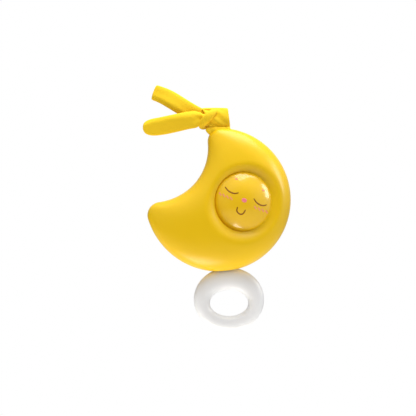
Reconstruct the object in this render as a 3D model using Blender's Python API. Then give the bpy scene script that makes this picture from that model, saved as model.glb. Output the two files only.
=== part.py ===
"""Musical cot pendant: a crescent moon on a fabric tie, with a pull ring below it.

Metres, +X right, +Y to the back, +Z up. The origin is the top of the tie's loop, which hangs on the cot rail.
The moon is two shells, parted at Y = 0. Behind its domed face sits a musical movement that the ring's cord winds.
"""

import math

import bmesh
import bpy
from mathutils import Matrix, Vector

# Clearances
GAP = 0.0003  # between pieces that touch
RUNNING = 0.0005  # round a turning or sliding piece

# Moon: the outline is an outer circle less a bite, with round horns
OUTER_RADIUS = 0.0693
BITE_RADIUS = 0.0525
BITE_OFFSET = 0.0807
BITE_ANGLE = math.radians(141.5)
BELLY_HALF_DEPTH = 0.029
DEPTH_POWER = 0.62
SECTION_POWER = 2.5
HORN_RADIUS = 0.013
SIDE_HORN_REACH = 0.0018
WALL = 0.0025
BACK_FLAT = 0.0012  # taken off the rear shell's crown, so that it lies still

# The tie's loop above the moon's centre
HANG_X = 0.0024
HANG_RISE = 0.0194  # from the upper horn's top to the top of the loop
SWING_DROP = 0.0008  # of the swing's axis below the upper horn's top
PIN_RISE = 0.0030  # of the anchor pin above the middle of the horn's round end
PIN_RADIUS = 0.0016
PIN_HOLD = 0.0029  # of the pin in the horn at each side of the slot
SLOT_SHIFT = 0.0004  # of the slot from the hanging line

# Face
FACE_INSET = 0.0467  # of the face's middle from the moon's right edge
FACE_Z = -0.0019
DOME_RADIUS = 0.0292
DOME_ASPECT = 0.94
DOME_RISE = 0.0113
DOME_WALL = 0.0018
DOME_FLANGE = 0.0028
DOME_FLANGE_THICK = 0.0014
DOME_STEP = 0.0006  # straight rise of the dome's edge above the dish
KEEPER_THICK = 0.0016
DISH_RADIUS = 0.0372
DISH_FLOOR = 0.0190  # from the parting plane
DISH_SLOPE = 2.2

# Pull ring
RING_X = 0.0097
RING_WIDTH = 0.0680
RING_HEIGHT = 0.0616
RING_DEPTH = 0.0140
FINGER_WIDTH = 0.0370
FINGER_HEIGHT = 0.0252
FINGER_DROP = 0.0035
RING_SEAT = 0.0032
RING_POWER = 2.3
RING_STATIONS, RING_SIDES = 32, 12
CORD_RADIUS = 0.0009
KNOT_RADIUS = 0.0025
KNOT_COVER = 0.0020  # between the finger hole and the knot
BUSH_BODY = 0.0026
BUSH_FLANGE = 0.0040
BUSH_NECK = 0.0012  # of the bush's body inside the wall
BUSH_LIP = 0.0012

# Tie
TIE_WIDTH = 0.0164
TIE_THICK = 0.0050
TIE_SLOT_DEPTH = 0.0090
KNOT_SIZE = (0.0260, 0.0200, 0.0220)
TAIL_WIDTH = 0.0180
TAIL_THICK = 0.0060
TAIL_LENGTH = 0.0520
TAIL_CORNER = 0.0050
LOWER_TAIL_RISE, UPPER_TAIL_RISE = -4, 26  # degrees above -X
LOWER_TAIL_DROP, UPPER_TAIL_LIFT = 0.0015, 0.0050

# Musical movement
DRUM_AXIS_Z = -0.0300
DRUM_PITCH = 0.0075
DRUM_WIDTH = 0.0134
DRUM_LIP = 0.0019  # of the drum's flanges beyond the middle of the cord's turns
FLANGE = 0.0010
WINDING = 0.0009  # how far the turns of cord stand out from their middle
GREAT_TEETH, CYLINDER_TEETH, DRIVE_MODULE = 32, 16, 0.0006
WHEEL_TEETH, PINION_TEETH, TRAIN_MODULE = 32, 8, 0.0005
IDLER_TEETH, FAN_TEETH, FAN_MODULE = 28, 8, 0.0004
GEAR_WIDTH = 0.0018
TIP_SHARE, ROOT_SHARE = 0.85, 1.2  # of a module, from the pitch circle to a tooth's tip and root
RATCHET_TEETH = 12
RATCHET_RADIUS = 0.0045
RATCHET_WIDTH = 0.0014
PAWL_WIDTH = 0.0012
BARREL_RADIUS = 0.0078
BARREL_WIDTH = 0.0100
BARREL_WALL = 0.0010
LID = 0.0010
SPRING_TURNS, SPRING_STEPS = 4, 16
SPRING_THICK = 0.00035
CYLINDER_RADIUS = 0.0056
CYLINDER_WIDTH = 0.0160
CYLINDER_SIDES = 24
CYLINDER_MARGIN = 0.0006  # beside the first track of pins
PIN_HEIGHT = 0.0006
NOTES = 16
COMB_TOOTH = 0.0080
COMB_BASE = 0.0050
COMB_THICK = 0.0008
COMB_MARGIN = 0.0004  # of the comb inside each end of the cylinder
TOOTH_SHARE = 0.72  # of the pitch
ARBOR_RADIUS = 0.0012
FINE_ARBOR = 0.0007
FAN_WIDTH = 0.0045
FAN_REACH = 0.0062
FAN_HUB = 0.0017
FAN_HALF_THICK = 0.0004
PLATE = 0.0018
PLATE_DROP, PLATE_RISE = 0.0064, 0.0020  # below the drum's axis and above the comb
CHEEK = 0.0020
CHEEK_HALF = 0.0045
BRACKET = 0.0016
BRACKET_HALF = 0.0030
ARBOR_STAND = 0.0006
POST_RADIUS = 0.0030
POST_SIDE, POST_LOW, POST_HIGH = 0.0056, 0.0035, 0.0040  # from the plate's edges

# Fasteners
SCREW_RADIUS = 0.0014
SCREW_HEAD = 0.0027
SCREW_POINT = 0.0012
PAN_HEIGHT = 0.0018
FLAT_HEAD = 0.0009  # height of the heads inside the movement
FRAME_SCREW_BITE = 0.0040
COMB_SCREW_RADIUS, COMB_SCREW_HEAD, COMB_SCREW_LENGTH = 0.0008, 0.0016, 0.0050
BOSS_RADIUS = 0.0046
BOSS_CLEAR = 0.0025  # between a boss and the side wall
SCREW_SEAT = 0.0060  # of a housing screw's head, behind the parting plane
SCREW_REACH = 0.0080  # of its tip, in front of it

for leftover in list(bpy.data.objects):
    bpy.data.objects.remove(leftover)


def material(name, colour, roughness, metallic=0.0):
    made = bpy.data.materials.new(name)
    made.use_nodes = True
    shader = made.node_tree.nodes["Principled BSDF"]
    shader.inputs["Base Color"].default_value = (*colour, 1.0)
    shader.inputs["Roughness"].default_value = roughness
    shader.inputs["Metallic"].default_value = metallic
    made.diffuse_color = (*colour, 1.0)
    return made


def solid(name, bm, finish, location=(0, 0, 0), along="Z", turn=0.0):
    """An object from a bmesh built along +Z, turned by `turn` about that axis and laid along X, Y or Z."""
    bmesh.ops.remove_doubles(bm, verts=bm.verts, dist=1e-7)
    bmesh.ops.recalc_face_normals(bm, faces=bm.faces)
    mesh = bpy.data.meshes.new(name)
    bm.to_mesh(mesh)
    bm.free()
    mesh.materials.append(finish)
    mesh.shade_smooth()
    mesh.set_sharp_from_angle(angle=math.radians(35))
    made = bpy.data.objects.new(name, mesh)
    bpy.context.scene.collection.objects.link(made)
    lay = {
        "X": Matrix.Rotation(math.pi / 2, 4, "Y"),
        "Y": Matrix.Rotation(-math.pi / 2, 4, "X"),
        "-Y": Matrix.Rotation(math.pi / 2, 4, "X"),
        "Z": Matrix(),
    }
    made.matrix_world = Matrix.Translation(location) @ lay[along] @ Matrix.Rotation(turn, 4, "Z")
    return made


def helper(made):
    made.hide_render = True
    made.display_type = "WIRE"
    return made


def combine(made, other, operation="DIFFERENCE"):
    modifier = made.modifiers.new(other.name, "BOOLEAN")
    modifier.operation = operation
    modifier.solver = "EXACT"
    modifier.object = other


def pivot(name, location, parent=None):
    empty = bpy.data.objects.new(name, None)
    bpy.context.scene.collection.objects.link(empty)
    empty.location = location
    empty.empty_display_size = 0.01
    if parent:
        hang(empty, parent)
    return empty


def hang(made, parent):
    """Parents without moving."""
    bpy.context.view_layer.update()
    made.parent = parent
    made.matrix_parent_inverse = parent.matrix_world.inverted()


def loop_of(bm, points):
    verts = [bm.verts.new(point) for point in points]
    return [bm.edges.new((a, b)) for a, b in zip(verts, verts[1:] + verts[:1])]


def loft(rings):
    """A closed skin over rings of points, with a flat face at each end."""
    bm = bmesh.new()
    loops = [loop_of(bm, ring) for ring in rings]
    for first, second in zip(loops, loops[1:]):
        bmesh.ops.bridge_loops(bm, edges=first + second)
    for ends in (loops[0], loops[-1]):
        bmesh.ops.edgeloop_fill(bm, edges=ends)
    return bm


def prism(outline, length):
    bm = bmesh.new()
    face = bm.faces.new([bm.verts.new((x, y, 0)) for x, y in outline])
    grown = bmesh.ops.extrude_face_region(bm, geom=[face])
    verts = [part for part in grown["geom"] if isinstance(part, bmesh.types.BMVert)]
    bmesh.ops.translate(bm, verts=verts, vec=(0, 0, length))
    return bm


def turned(profile, sides=32):
    """A profile of (radius, height) points, closed on itself or along the axis, spun about Z."""
    bm = bmesh.new()
    edges = loop_of(bm, [(radius, 0, height) for radius, height in profile])
    on_axis = [edge for edge in edges if not any(vert.co.x for vert in edge.verts)]
    bmesh.ops.delete(bm, geom=on_axis, context="EDGES_FACES")
    edges = list(bm.edges)
    verts = list(bm.verts)
    bmesh.ops.spin(
        bm, geom=verts + edges, cent=(0, 0, 0), axis=(0, 0, 1), angle=math.tau, steps=sides, use_merge=True
    )
    bmesh.ops.dissolve_degenerate(bm, dist=1e-7, edges=bm.edges)
    return bm


def rod(radius, start, end, sides=20):
    bm = bmesh.new()
    bmesh.ops.create_cone(
        bm, cap_ends=True, segments=sides, radius1=radius, radius2=radius, depth=end - start,
        matrix=Matrix.Translation((0, 0, (start + end) / 2)),
    )
    return bm


def sleeve(inner, outer, start, end, sides=32):
    return turned([(inner, start), (outer, start), (outer, end), (inner, end)], sides)


def block(low, high):
    bm = bmesh.new()
    size = [b - a for a, b in zip(low, high)]
    centre = [(a + b) / 2 for a, b in zip(low, high)]
    bmesh.ops.create_cube(bm, size=1, matrix=Matrix.Translation(centre) @ Matrix.Diagonal((*size, 1)))
    return bm


def rounded_plate(width, height, corner, thickness, steps=4):
    """A plate centred on Z, with its corners rounded."""
    outline = []
    for quarter in range(4):
        start = quarter * math.pi / 2
        sx, sy = ((1, 1), (-1, 1), (-1, -1), (1, -1))[quarter]
        for step in range(steps + 1):
            angle = start + step / steps * math.pi / 2
            outline.append((
                sx * (width / 2 - corner) + corner * math.cos(angle),
                sy * (height / 2 - corner) + corner * math.sin(angle),
            ))
    return prism(outline, thickness)


def tip_radius(teeth, module):
    return module * (teeth / 2 + TIP_SHARE)


def gear(teeth, module, width):
    """Straight-flanked teeth: root and tip widths as shares of the pitch leave running backlash."""
    tip = tip_radius(teeth, module)
    root = module * (teeth / 2 - ROOT_SHARE)
    outline = []
    for tooth in range(teeth):
        for radius, share in ((root, -0.24), (tip, -0.10), (tip, 0.10), (root, 0.24)):
            angle = (tooth + share) * math.tau / teeth
            outline.append((radius * math.cos(angle), radius * math.sin(angle)))
    return prism(outline, width)


def mesh_distance(first, second, module):
    return (first + second) * module / 2


# ---------------------------------------------------------------- the moon's form

MOON = Vector((-HANG_X, 0, -HANG_RISE - OUTER_RADIUS))
FACE_X = OUTER_RADIUS - FACE_INSET


def place(x, y, z):
    """From the moon's centre to the world."""
    return MOON + Vector((x, y, z))


BITE = Vector((math.cos(BITE_ANGLE), math.sin(BITE_ANGLE))) * BITE_OFFSET
HALF_SUM = (OUTER_RADIUS + BITE_RADIUS) / 2
HALF_OFFSET = BITE_OFFSET / 2
SPINE_MINOR = math.sqrt(HALF_SUM**2 - HALF_OFFSET**2)
BELLY_HALF_WIDTH = OUTER_RADIUS - HALF_SUM + HALF_OFFSET
HORN_TURN = math.acos((HORN_RADIUS - OUTER_RADIUS + HALF_SUM) / HALF_OFFSET)


def spine(turn):
    """The crescent's middle line is half an ellipse with its foci at both circles' centres.

    Gives its (x, z) at `turn` from the belly, and how far both edges are from it.
    """
    away = -BITE.normalized()
    across = Vector((-away.y, away.x))
    point = BITE / 2 + away * HALF_SUM * math.cos(turn) + across * SPINE_MINOR * math.sin(turn)
    return point, OUTER_RADIUS - HALF_SUM + HALF_OFFSET * math.cos(turn)


def side_reach(turn):
    """The side horn stands a little further out than the outer circle."""
    share = max(0.0, -turn / HORN_TURN)
    return Vector((-0.97, -0.24)) * SIDE_HORN_REACH * share * share


def crescent_rings(inset, stations, sides, cap=4):
    """Rings of points over the crescent, each between an outer and an inner edge point, all moved in by `inset`."""
    turns = [HORN_TURN * (2 * step / stations - 1) for step in range(stations + 1)]
    marks = [(turns[0], step / cap) for step in range(cap - 1, 0, -1)]
    marks += [(turn, 0.0) for turn in turns]
    marks += [(turns[-1], step / cap) for step in range(1, cap)]
    rings = []
    for turn, share in marks:
        point, reach = spine(turn)
        outward = point.normalized()
        inward = (BITE - point).normalized()
        tip = Vector((-outward.y, outward.x)) - Vector((-inward.y, inward.x))
        tip = tip.normalized() * math.copysign(1, turn)
        edges = [
            point + side_reach(turn) + direction.slerp(tip, share * 0.97) * (reach - inset)
            for direction in (outward, inward)
        ]
        middle, half = (edges[0] + edges[1]) / 2, (edges[0] - edges[1]) / 2
        width = half.length + inset
        depth = BELLY_HALF_DEPTH * (width / BELLY_HALF_WIDTH) ** DEPTH_POWER - inset
        ring = []
        for side in range(sides):
            angle = math.tau * (side + 0.5) / sides
            c, s = math.cos(angle), math.sin(angle)
            u = math.copysign(abs(c) ** (2 / SECTION_POWER), c)
            v = math.copysign(abs(s) ** (2 / SECTION_POWER), s)
            flat = middle + half * u
            ring.append(place(flat.x, depth * v, flat.y))
        rings.append(ring)
    return rings


def crescent(inset, stations=24, sides=18):
    return loft(crescent_rings(inset, stations, sides))


def dish(grow):
    """The turned cutter of the dish round the face, larger by `grow`, along -Y from the floor."""
    outer = DISH_RADIUS + grow
    inner = DOME_RADIUS + DOME_FLANGE * 0.2 + grow
    floor = DISH_FLOOR - grow
    rim = BELLY_HALF_DEPTH - floor
    profile = [(0, floor)]
    for step in range(7):
        share = step / 6
        profile.append((inner + (outer - inner) * share, floor + rim * share**DISH_SLOPE))
    profile.append((outer + 0.004, floor + rim + 0.012))
    profile.append((0, floor + rim + 0.012))
    return turned(profile, 32)


# ---------------------------------------------------------------- finishes

yellow = material("moon_yellow", (0.93, 0.60, 0.03), 0.38)
dome_yellow = material("dome_yellow", (0.95, 0.66, 0.05), 0.14)
white = material("ring_white", (0.86, 0.86, 0.86), 0.42)
jersey = material("yellow_jersey", (0.95, 0.66, 0.03), 0.9)
braid = material("white_braid", (0.82, 0.82, 0.80), 0.8)
steel = material("steel", (0.56, 0.57, 0.58), 0.3, 1.0)
spring_steel = material("spring_steel", (0.24, 0.27, 0.33), 0.28, 1.0)
brass = material("brass", (0.72, 0.53, 0.24), 0.3, 1.0)
zinc = material("zinc_casting", (0.48, 0.49, 0.50), 0.45, 1.0)
nylon = material("nylon", (0.85, 0.83, 0.76), 0.45)


def joined(shapes):
    """Several bmeshes as one, for a cutter of several holes."""
    whole = bmesh.new()
    for bm, shift in shapes:
        bmesh.ops.translate(bm, verts=bm.verts, vec=shift)
        scratch = bpy.data.meshes.new("shape")
        bm.to_mesh(scratch)
        bm.free()
        whole.from_mesh(scratch)
        bpy.data.meshes.remove(scratch)
    return whole


def rods(name, centres, radius, start, end, along="Y", sides=20):
    """A helper of equal rods at (x, z) places from the moon's centre, from Y = start to Y = end."""
    shapes = [(rod(radius, start, end, sides), (x, -z, 0)) for x, z in centres]
    return helper(solid(name, joined(shapes), steel, MOON, along))


def box_helper(name, low, high):
    return helper(solid(name, block(low, high), steel, MOON))


# ---------------------------------------------------------------- places

horn_point, _ = spine(HORN_TURN)
SWING_Z = OUTER_RADIUS - SWING_DROP
PIN_Z = horn_point.y + PIN_RISE
PIN_LENGTH = TIE_WIDTH + 2 * PIN_HOLD
SLOT_X = HANG_X - SLOT_SHIFT
RING_TOP = -math.sqrt(OUTER_RADIUS**2 - RING_X**2) + RING_SEAT
RING_Z = RING_TOP - RING_HEIGHT / 2
FINGER_Z = RING_Z - FINGER_DROP

screw_places = [tuple(spine(HORN_TURN * 0.80)[0]), tuple(spine(-HORN_TURN * 0.74)[0])]
for bearing in (16, -60):
    turn = math.radians(bearing)
    reach = OUTER_RADIUS - WALL - BOSS_RADIUS - BOSS_CLEAR
    screw_places.append((reach * math.cos(turn), reach * math.sin(turn)))

drum_y = DRUM_PITCH
drum_z = DRUM_AXIS_Z
cylinder_z = drum_z + mesh_distance(GREAT_TEETH, CYLINDER_TEETH, DRIVE_MODULE)
idler_z = cylinder_z + mesh_distance(WHEEL_TEETH, PINION_TEETH, TRAIN_MODULE)
fan_z = idler_z + mesh_distance(IDLER_TEETH, FAN_TEETH, FAN_MODULE)

drum_x = RING_X - DRUM_WIDTH / 2
left_cheek_x = drum_x - RUNNING - CHEEK
ratchet_x = drum_x + DRUM_WIDTH + GAP
great_x = ratchet_x + RATCHET_WIDTH + RUNNING
barrel_x = great_x + GEAR_WIDTH + RUNNING
cylinder_x = great_x + GEAR_WIDTH + GAP
wheel_x = cylinder_x + CYLINDER_WIDTH + GAP
right_cheek_x = wheel_x + GEAR_WIDTH + RUNNING
idler_x = right_cheek_x + CHEEK + RUNNING
fan_x = idler_x + GEAR_WIDTH + RUNNING
bracket_x = fan_x + FAN_WIDTH + RUNNING
drum_flange = DRUM_PITCH + DRUM_LIP
plate_y = drum_y + max(tip_radius(GREAT_TEETH, DRIVE_MODULE), drum_flange + FLAT_HEAD + GAP) + RUNNING

comb_tip_z = cylinder_z + CYLINDER_RADIUS + PIN_HEIGHT + RUNNING
comb_top_z = comb_tip_z + COMB_TOOTH + COMB_BASE
plate_low = (left_cheek_x, drum_z - PLATE_DROP)
plate_high = (right_cheek_x + CHEEK, comb_top_z + PLATE_RISE)
post_places = [
    (plate_low[0] + POST_SIDE, plate_low[1] + POST_LOW),
    (plate_high[0] - POST_SIDE, plate_low[1] + POST_LOW),
    (plate_low[0] + POST_SIDE, plate_high[1] - POST_HIGH),
]

# ---------------------------------------------------------------- pivots

tie_pivot = pivot("tie_pivot", (0, 0, 0))
swing_pivot = pivot("swing_pivot", place(HANG_X, 0, SWING_Z), tie_pivot)
ring_pivot = pivot("ring_pivot", place(RING_X, 0, RING_TOP), swing_pivot)
drum_pivot = pivot("drum_pivot", place(drum_x, drum_y, drum_z), swing_pivot)
great_pivot = pivot("great_pivot", place(great_x, drum_y, drum_z), swing_pivot)
cylinder_pivot = pivot("cylinder_pivot", place(cylinder_x, drum_y, cylinder_z), swing_pivot)
idler_pivot = pivot("idler_pivot", place(idler_x, drum_y, idler_z), swing_pivot)
fan_pivot = pivot("fan_pivot", place(fan_x, drum_y, fan_z), swing_pivot)

# ---------------------------------------------------------------- helpers that both shells share

BIG = 0.2
front_half = box_helper("front_half", (-BIG, -BIG, -BIG), (BIG, GAP / 2, BIG))
rear_half = box_helper("rear_half", (-BIG, -GAP / 2, -BIG), (BIG, BIG, BIG))

dish_cutter = helper(solid("dish_cutter", dish(0), steel, place(FACE_X, 0, FACE_Z), "-Y"))
dish_wall = helper(solid("dish_wall", dish(WALL), steel, place(FACE_X, 0, FACE_Z), "-Y"))
inset_form = helper(solid("inset_form", crescent(WALL / 2), steel))

horn_plug = box_helper(
    "horn_plug", (-0.030, -BIG, PIN_Z - PIN_RADIUS - TIE_THICK - WALL - 0.0004), (HANG_X + 0.0125, BIG, BIG)
)


def seat_form(name, grow):
    """What the ring's top nests in: its outline, larger by `grow`."""
    bm = rod(1, -0.5, 0.5, 48)
    size = (RING_WIDTH + 2 * grow, RING_HEIGHT + 2 * grow, RING_DEPTH + 2 * grow)
    bmesh.ops.scale(bm, verts=bm.verts, vec=(size[0] / 2, size[1] / 2, size[2]))
    return helper(solid(name, bm, steel, place(RING_X, 0, RING_Z), "Y"))


ring_seat = seat_form("ring_seat", RUNNING)
ring_seat_wall = seat_form("ring_seat_wall", RUNNING + WALL)

core = helper(solid("core", crescent(WALL), steel))
for form in (dish_wall, ring_seat_wall, horn_plug):
    combine(core, form)

tie_slot = box_helper(
    "tie_slot",
    (SLOT_X - TIE_WIDTH / 2 - RUNNING, -TIE_SLOT_DEPTH / 2, PIN_Z - PIN_RADIUS - TIE_THICK - 0.0004),
    (SLOT_X + TIE_WIDTH / 2 + RUNNING, TIE_SLOT_DEPTH / 2, OUTER_RADIUS + 0.01),
)
pin_start = SLOT_X - PIN_LENGTH / 2
pin_bore = helper(solid(
    "pin_bore", rod(PIN_RADIUS + GAP, -GAP, PIN_LENGTH + GAP), steel, place(pin_start, 0, PIN_Z), "X"
))

BUSH_BORE = CORD_RADIUS + RUNNING
bush_bore = helper(solid(
    "bush_bore", rod(BUSH_BODY + GAP, -0.002, 0.012), steel, place(RING_X, 0, RING_TOP + RUNNING)
))
shared_cuts = (ring_seat, tie_slot, pin_bore, bush_bore)

# ---------------------------------------------------------------- front shell

front_posts = rods("front_posts", screw_places, BOSS_RADIUS, -0.04, -GAP / 2)
combine(front_posts, inset_form, "INTERSECT")
pilots = rods("pilots", screw_places, SCREW_RADIUS + GAP, -SCREW_REACH - 0.001, 0.002)

face_opening = rod(DOME_RADIUS + GAP, DISH_FLOOR - WALL - 0.004, DISH_FLOOR + 0.03, 36)
bmesh.ops.scale(face_opening, verts=face_opening.verts, vec=(DOME_ASPECT, 1, 1))
face_opening = helper(solid("face_opening", face_opening, steel, place(FACE_X, 0, FACE_Z), "-Y"))

front_shell = solid("front_shell", crescent(0), yellow)
combine(front_shell, rear_half)
combine(front_shell, core)
combine(front_shell, front_posts, "UNION")
for cutter in (dish_cutter, face_opening, *shared_cuts, pilots):
    combine(front_shell, cutter)
hang(front_shell, swing_pivot)

# ---------------------------------------------------------------- rear shell

rear_posts = rods("rear_posts", screw_places, BOSS_RADIUS, GAP / 2, 0.04)
movement_posts = rods("movement_posts", post_places, POST_RADIUS, plate_y + PLATE + GAP, 0.04)
for posts in (rear_posts, movement_posts):
    combine(posts, inset_form, "INTERSECT")
counterbores = rods("counterbores", screw_places, SCREW_HEAD + RUNNING, SCREW_SEAT, 0.05)
shank_holes = rods("shank_holes", screw_places, SCREW_RADIUS + GAP, -0.002, SCREW_SEAT + 0.001)
post_pilots = rods(
    "post_pilots", post_places, SCREW_RADIUS + GAP, plate_y, plate_y + PLATE + FRAME_SCREW_BITE - GAP
)

grille_x, grille_z = spine(HORN_TURN * 0.30)[0]
grille_places = [(grille_x, grille_z)]
for ring_radius, count in ((0.0050, 6), (0.0095, 12)):
    for step in range(count):
        turn = math.tau * step / count
        grille_places.append((grille_x + ring_radius * math.cos(turn), grille_z + ring_radius * math.sin(turn)))
sound_holes = rods("sound_holes", grille_places, 0.0012, 0.012, 0.05, sides=10)
flat_cutter = box_helper("flat_cutter", (-BIG, BELLY_HALF_DEPTH - BACK_FLAT, -BIG), (BIG, BIG, BIG))

rear_shell = solid("rear_shell", crescent(0), yellow)
combine(rear_shell, front_half)
combine(rear_shell, core)
for posts in (rear_posts, movement_posts):
    combine(rear_shell, posts, "UNION")
for cutter in (flat_cutter, *shared_cuts, counterbores, shank_holes, post_pilots, sound_holes):
    combine(rear_shell, cutter)
hang(rear_shell, swing_pivot)


def housing_screw(name, x, z):
    """A pan-head screw driven towards -Y, with its head on the rear post's seat and its tip in the front post."""
    seat = SCREW_SEAT + GAP
    length = seat + SCREW_REACH
    profile = [
        (0, -length), (SCREW_RADIUS * 0.4, -length), (SCREW_RADIUS, -length + SCREW_POINT), (SCREW_RADIUS, 0),
        (SCREW_HEAD, 0), (SCREW_HEAD, PAN_HEIGHT * 0.55), (SCREW_HEAD * 0.75, PAN_HEIGHT),
        (SCREW_HEAD * 0.34, PAN_HEIGHT), (SCREW_HEAD * 0.34, PAN_HEIGHT * 0.5), (0, PAN_HEIGHT * 0.5),
    ]
    made = solid(name, turned(profile, 14), steel, place(x, seat, z), "Y")
    hang(made, swing_pivot)


for number, (x, z) in enumerate(screw_places, 1):
    housing_screw(f"housing_screw_{number}", x, z)

# ---------------------------------------------------------------- face

arc = [math.radians(90 * step / 6) for step in range(7)]
dome_top = DISH_FLOOR + DOME_RISE
flange_high = DISH_FLOOR - WALL - GAP
flange_low = flange_high - DOME_FLANGE_THICK
dome_outer = [
    (DOME_RADIUS * math.sin(turn), DISH_FLOOR + DOME_STEP + (DOME_RISE - DOME_STEP) * math.cos(turn)) for turn in arc
]
dome_inner = [
    ((DOME_RADIUS - DOME_WALL) * math.sin(turn), flange_low + (dome_top - DOME_WALL - flange_low) * math.cos(turn))
    for turn in reversed(arc)
]
flange_radius = DOME_RADIUS + DOME_FLANGE
dome_rim = [(DOME_RADIUS, flange_high), (flange_radius, flange_high), (flange_radius, flange_low)]
dome_shape = turned(dome_outer + dome_rim + dome_inner, 36)
bmesh.ops.scale(dome_shape, verts=dome_shape.verts, vec=(DOME_ASPECT, 1, 1))
face_dome = solid("face_dome", dome_shape, dome_yellow, place(FACE_X, 0, FACE_Z), "-Y")
hang(face_dome, swing_pivot)

keeper = sleeve(
    DOME_RADIUS - DOME_WALL - GAP, flange_radius, flange_low - GAP - KEEPER_THICK, flange_low - GAP, 36
)
bmesh.ops.scale(keeper, verts=keeper.verts, vec=(DOME_ASPECT, 1, 1))
dome_keeper = solid("dome_keeper_ring", keeper, nylon, place(FACE_X, 0, FACE_Z), "-Y")
hang(dome_keeper, swing_pivot)

# ---------------------------------------------------------------- tie

anchor_pin = solid("tie_anchor_pin", rod(PIN_RADIUS, 0, PIN_LENGTH), steel, place(pin_start, 0, PIN_Z), "X")
hang(anchor_pin, swing_pivot)

loop_outer = PIN_RADIUS + GAP + TIE_THICK * 0.5
loop_neck = TIE_THICK / 2
eye = PIN_RADIUS + GAP
loop_top = SWING_Z - PIN_Z
loop_outline = []
for step in range(13):
    turn = math.radians(-200 + 220 * step / 12)
    loop_outline.append((loop_outer * math.cos(turn), loop_outer * math.sin(turn)))
for step in range(7):
    turn = math.radians(180 * step / 6)
    loop_outline.append((loop_neck * math.cos(turn), loop_top - loop_neck + loop_neck * math.sin(turn)))
tie_loop = solid(
    "tie_loop", prism([(z, y) for y, z in loop_outline], TIE_WIDTH), jersey,
    place(SLOT_X - TIE_WIDTH / 2, 0, PIN_Z), "X", math.pi,
)
loop_eye = helper(solid(
    "loop_eye", rod(eye, -0.01, TIE_WIDTH + 0.01), steel, place(SLOT_X - TIE_WIDTH / 2, 0, PIN_Z), "X"
))
combine(tie_loop, loop_eye)
hang(tie_loop, swing_pivot)

band_low = SWING_Z + TIE_THICK / 2 + 0.0012
band_height = OUTER_RADIUS + HANG_RISE - band_low
tie_band = solid(
    "tie_band", rounded_plate(TIE_WIDTH, band_height, 0.0022, TIE_THICK), jersey,
    place(HANG_X, -TIE_THICK / 2, band_low + band_height / 2), "Y",
)
hang(tie_band, tie_pivot)

knot_x = HANG_X - TIE_WIDTH / 2 - GAP - KNOT_SIZE[0] / 4
knot_z = OUTER_RADIUS + HANG_RISE - KNOT_SIZE[2] / 2
knot_shape = bmesh.new()
bmesh.ops.create_uvsphere(knot_shape, u_segments=20, v_segments=12, radius=0.5)
bmesh.ops.scale(knot_shape, verts=knot_shape.verts, vec=(KNOT_SIZE[0] / 2, *KNOT_SIZE[1:]))
tie_knot = solid("tie_knot", knot_shape, jersey, place(knot_x, 0, knot_z))
hang(tie_knot, tie_pivot)


def tail(name, y, rise, z):
    """A doubled strip of jersey that leaves the knot at an angle of `rise` above -X."""
    turn = math.radians(180 - rise)
    start = Vector((knot_x - KNOT_SIZE[0] / 4 - GAP - 0.0006, z))
    middle = start + Vector((math.cos(turn), math.sin(turn))) * TAIL_LENGTH / 2
    made = solid(
        name, rounded_plate(TAIL_LENGTH, TAIL_WIDTH, TAIL_CORNER, TAIL_THICK), jersey,
        place(middle.x, y - TAIL_THICK / 2, middle.y), "Y", -turn,
    )
    hang(made, tie_pivot)


tail("tie_tail_lower", -TAIL_THICK / 2 - RUNNING, LOWER_TAIL_RISE, knot_z - LOWER_TAIL_DROP)
tail("tie_tail_upper", TAIL_THICK / 2 + RUNNING, UPPER_TAIL_RISE, knot_z + UPPER_TAIL_LIFT)

# ---------------------------------------------------------------- pull ring

ring_loops = []
for station in range(RING_STATIONS):
    turn = math.tau * station / RING_STATIONS
    c, s = math.cos(turn), math.sin(turn)
    outer = Vector((RING_WIDTH / 2 * c, RING_HEIGHT / 2 * s))
    inner = Vector((FINGER_WIDTH / 2 * c, FINGER_HEIGHT / 2 * s - FINGER_DROP))
    middle, half = (outer + inner) / 2, (outer - inner) / 2
    points = []
    for side in range(RING_SIDES):
        angle = math.tau * side / RING_SIDES
        u, v = (math.copysign(abs(t) ** (2 / RING_POWER), t) for t in (math.cos(angle), math.sin(angle)))
        flat = middle + half * u
        points.append((flat.x, RING_DEPTH / 2 * v, flat.y))
    ring_loops.append(points)

ring_shape = bmesh.new()
hoops = [loop_of(ring_shape, points) for points in ring_loops]
for first, second in zip(hoops, hoops[1:] + hoops[:1]):
    bmesh.ops.bridge_loops(ring_shape, edges=first + second)
pull_ring = solid("pull_ring", ring_shape, white, place(RING_X, 0, RING_Z))

POCKET_RADIUS = KNOT_RADIUS + RUNNING
finger_top = FINGER_Z + FINGER_HEIGHT / 2
pocket_top = finger_top + 2 * KNOT_RADIUS + KNOT_COVER
cord_way = helper(solid(
    "cord_way",
    turned([
        (0, finger_top - 0.004), (POCKET_RADIUS, finger_top - 0.004), (POCKET_RADIUS, pocket_top),
        (CORD_RADIUS + RUNNING, pocket_top + 0.0012), (CORD_RADIUS + RUNNING, RING_TOP + 0.004),
        (0, RING_TOP + 0.004),
    ], 20),
    steel, place(RING_X, 0, 0),
))
combine(pull_ring, cord_way)
hang(pull_ring, ring_pivot)

knot_ball = bmesh.new()
bmesh.ops.create_uvsphere(knot_ball, u_segments=14, v_segments=8, radius=KNOT_RADIUS)
cord_knot_z = pocket_top - KNOT_RADIUS - GAP
cord_knot = solid("cord_knot", knot_ball, braid, place(RING_X, 0, cord_knot_z))
hang(cord_knot, ring_pivot)

winding_outer = DRUM_PITCH + WINDING
cord_top = drum_z - math.sqrt(winding_outer**2 - (DRUM_PITCH - CORD_RADIUS) ** 2) - 2 * GAP
cord_low = cord_knot_z + KNOT_RADIUS + GAP
pull_cord = solid("pull_cord", rod(CORD_RADIUS, cord_low, cord_top, 10), braid, place(RING_X, 0, 0))
hang(pull_cord, ring_pivot)

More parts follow.
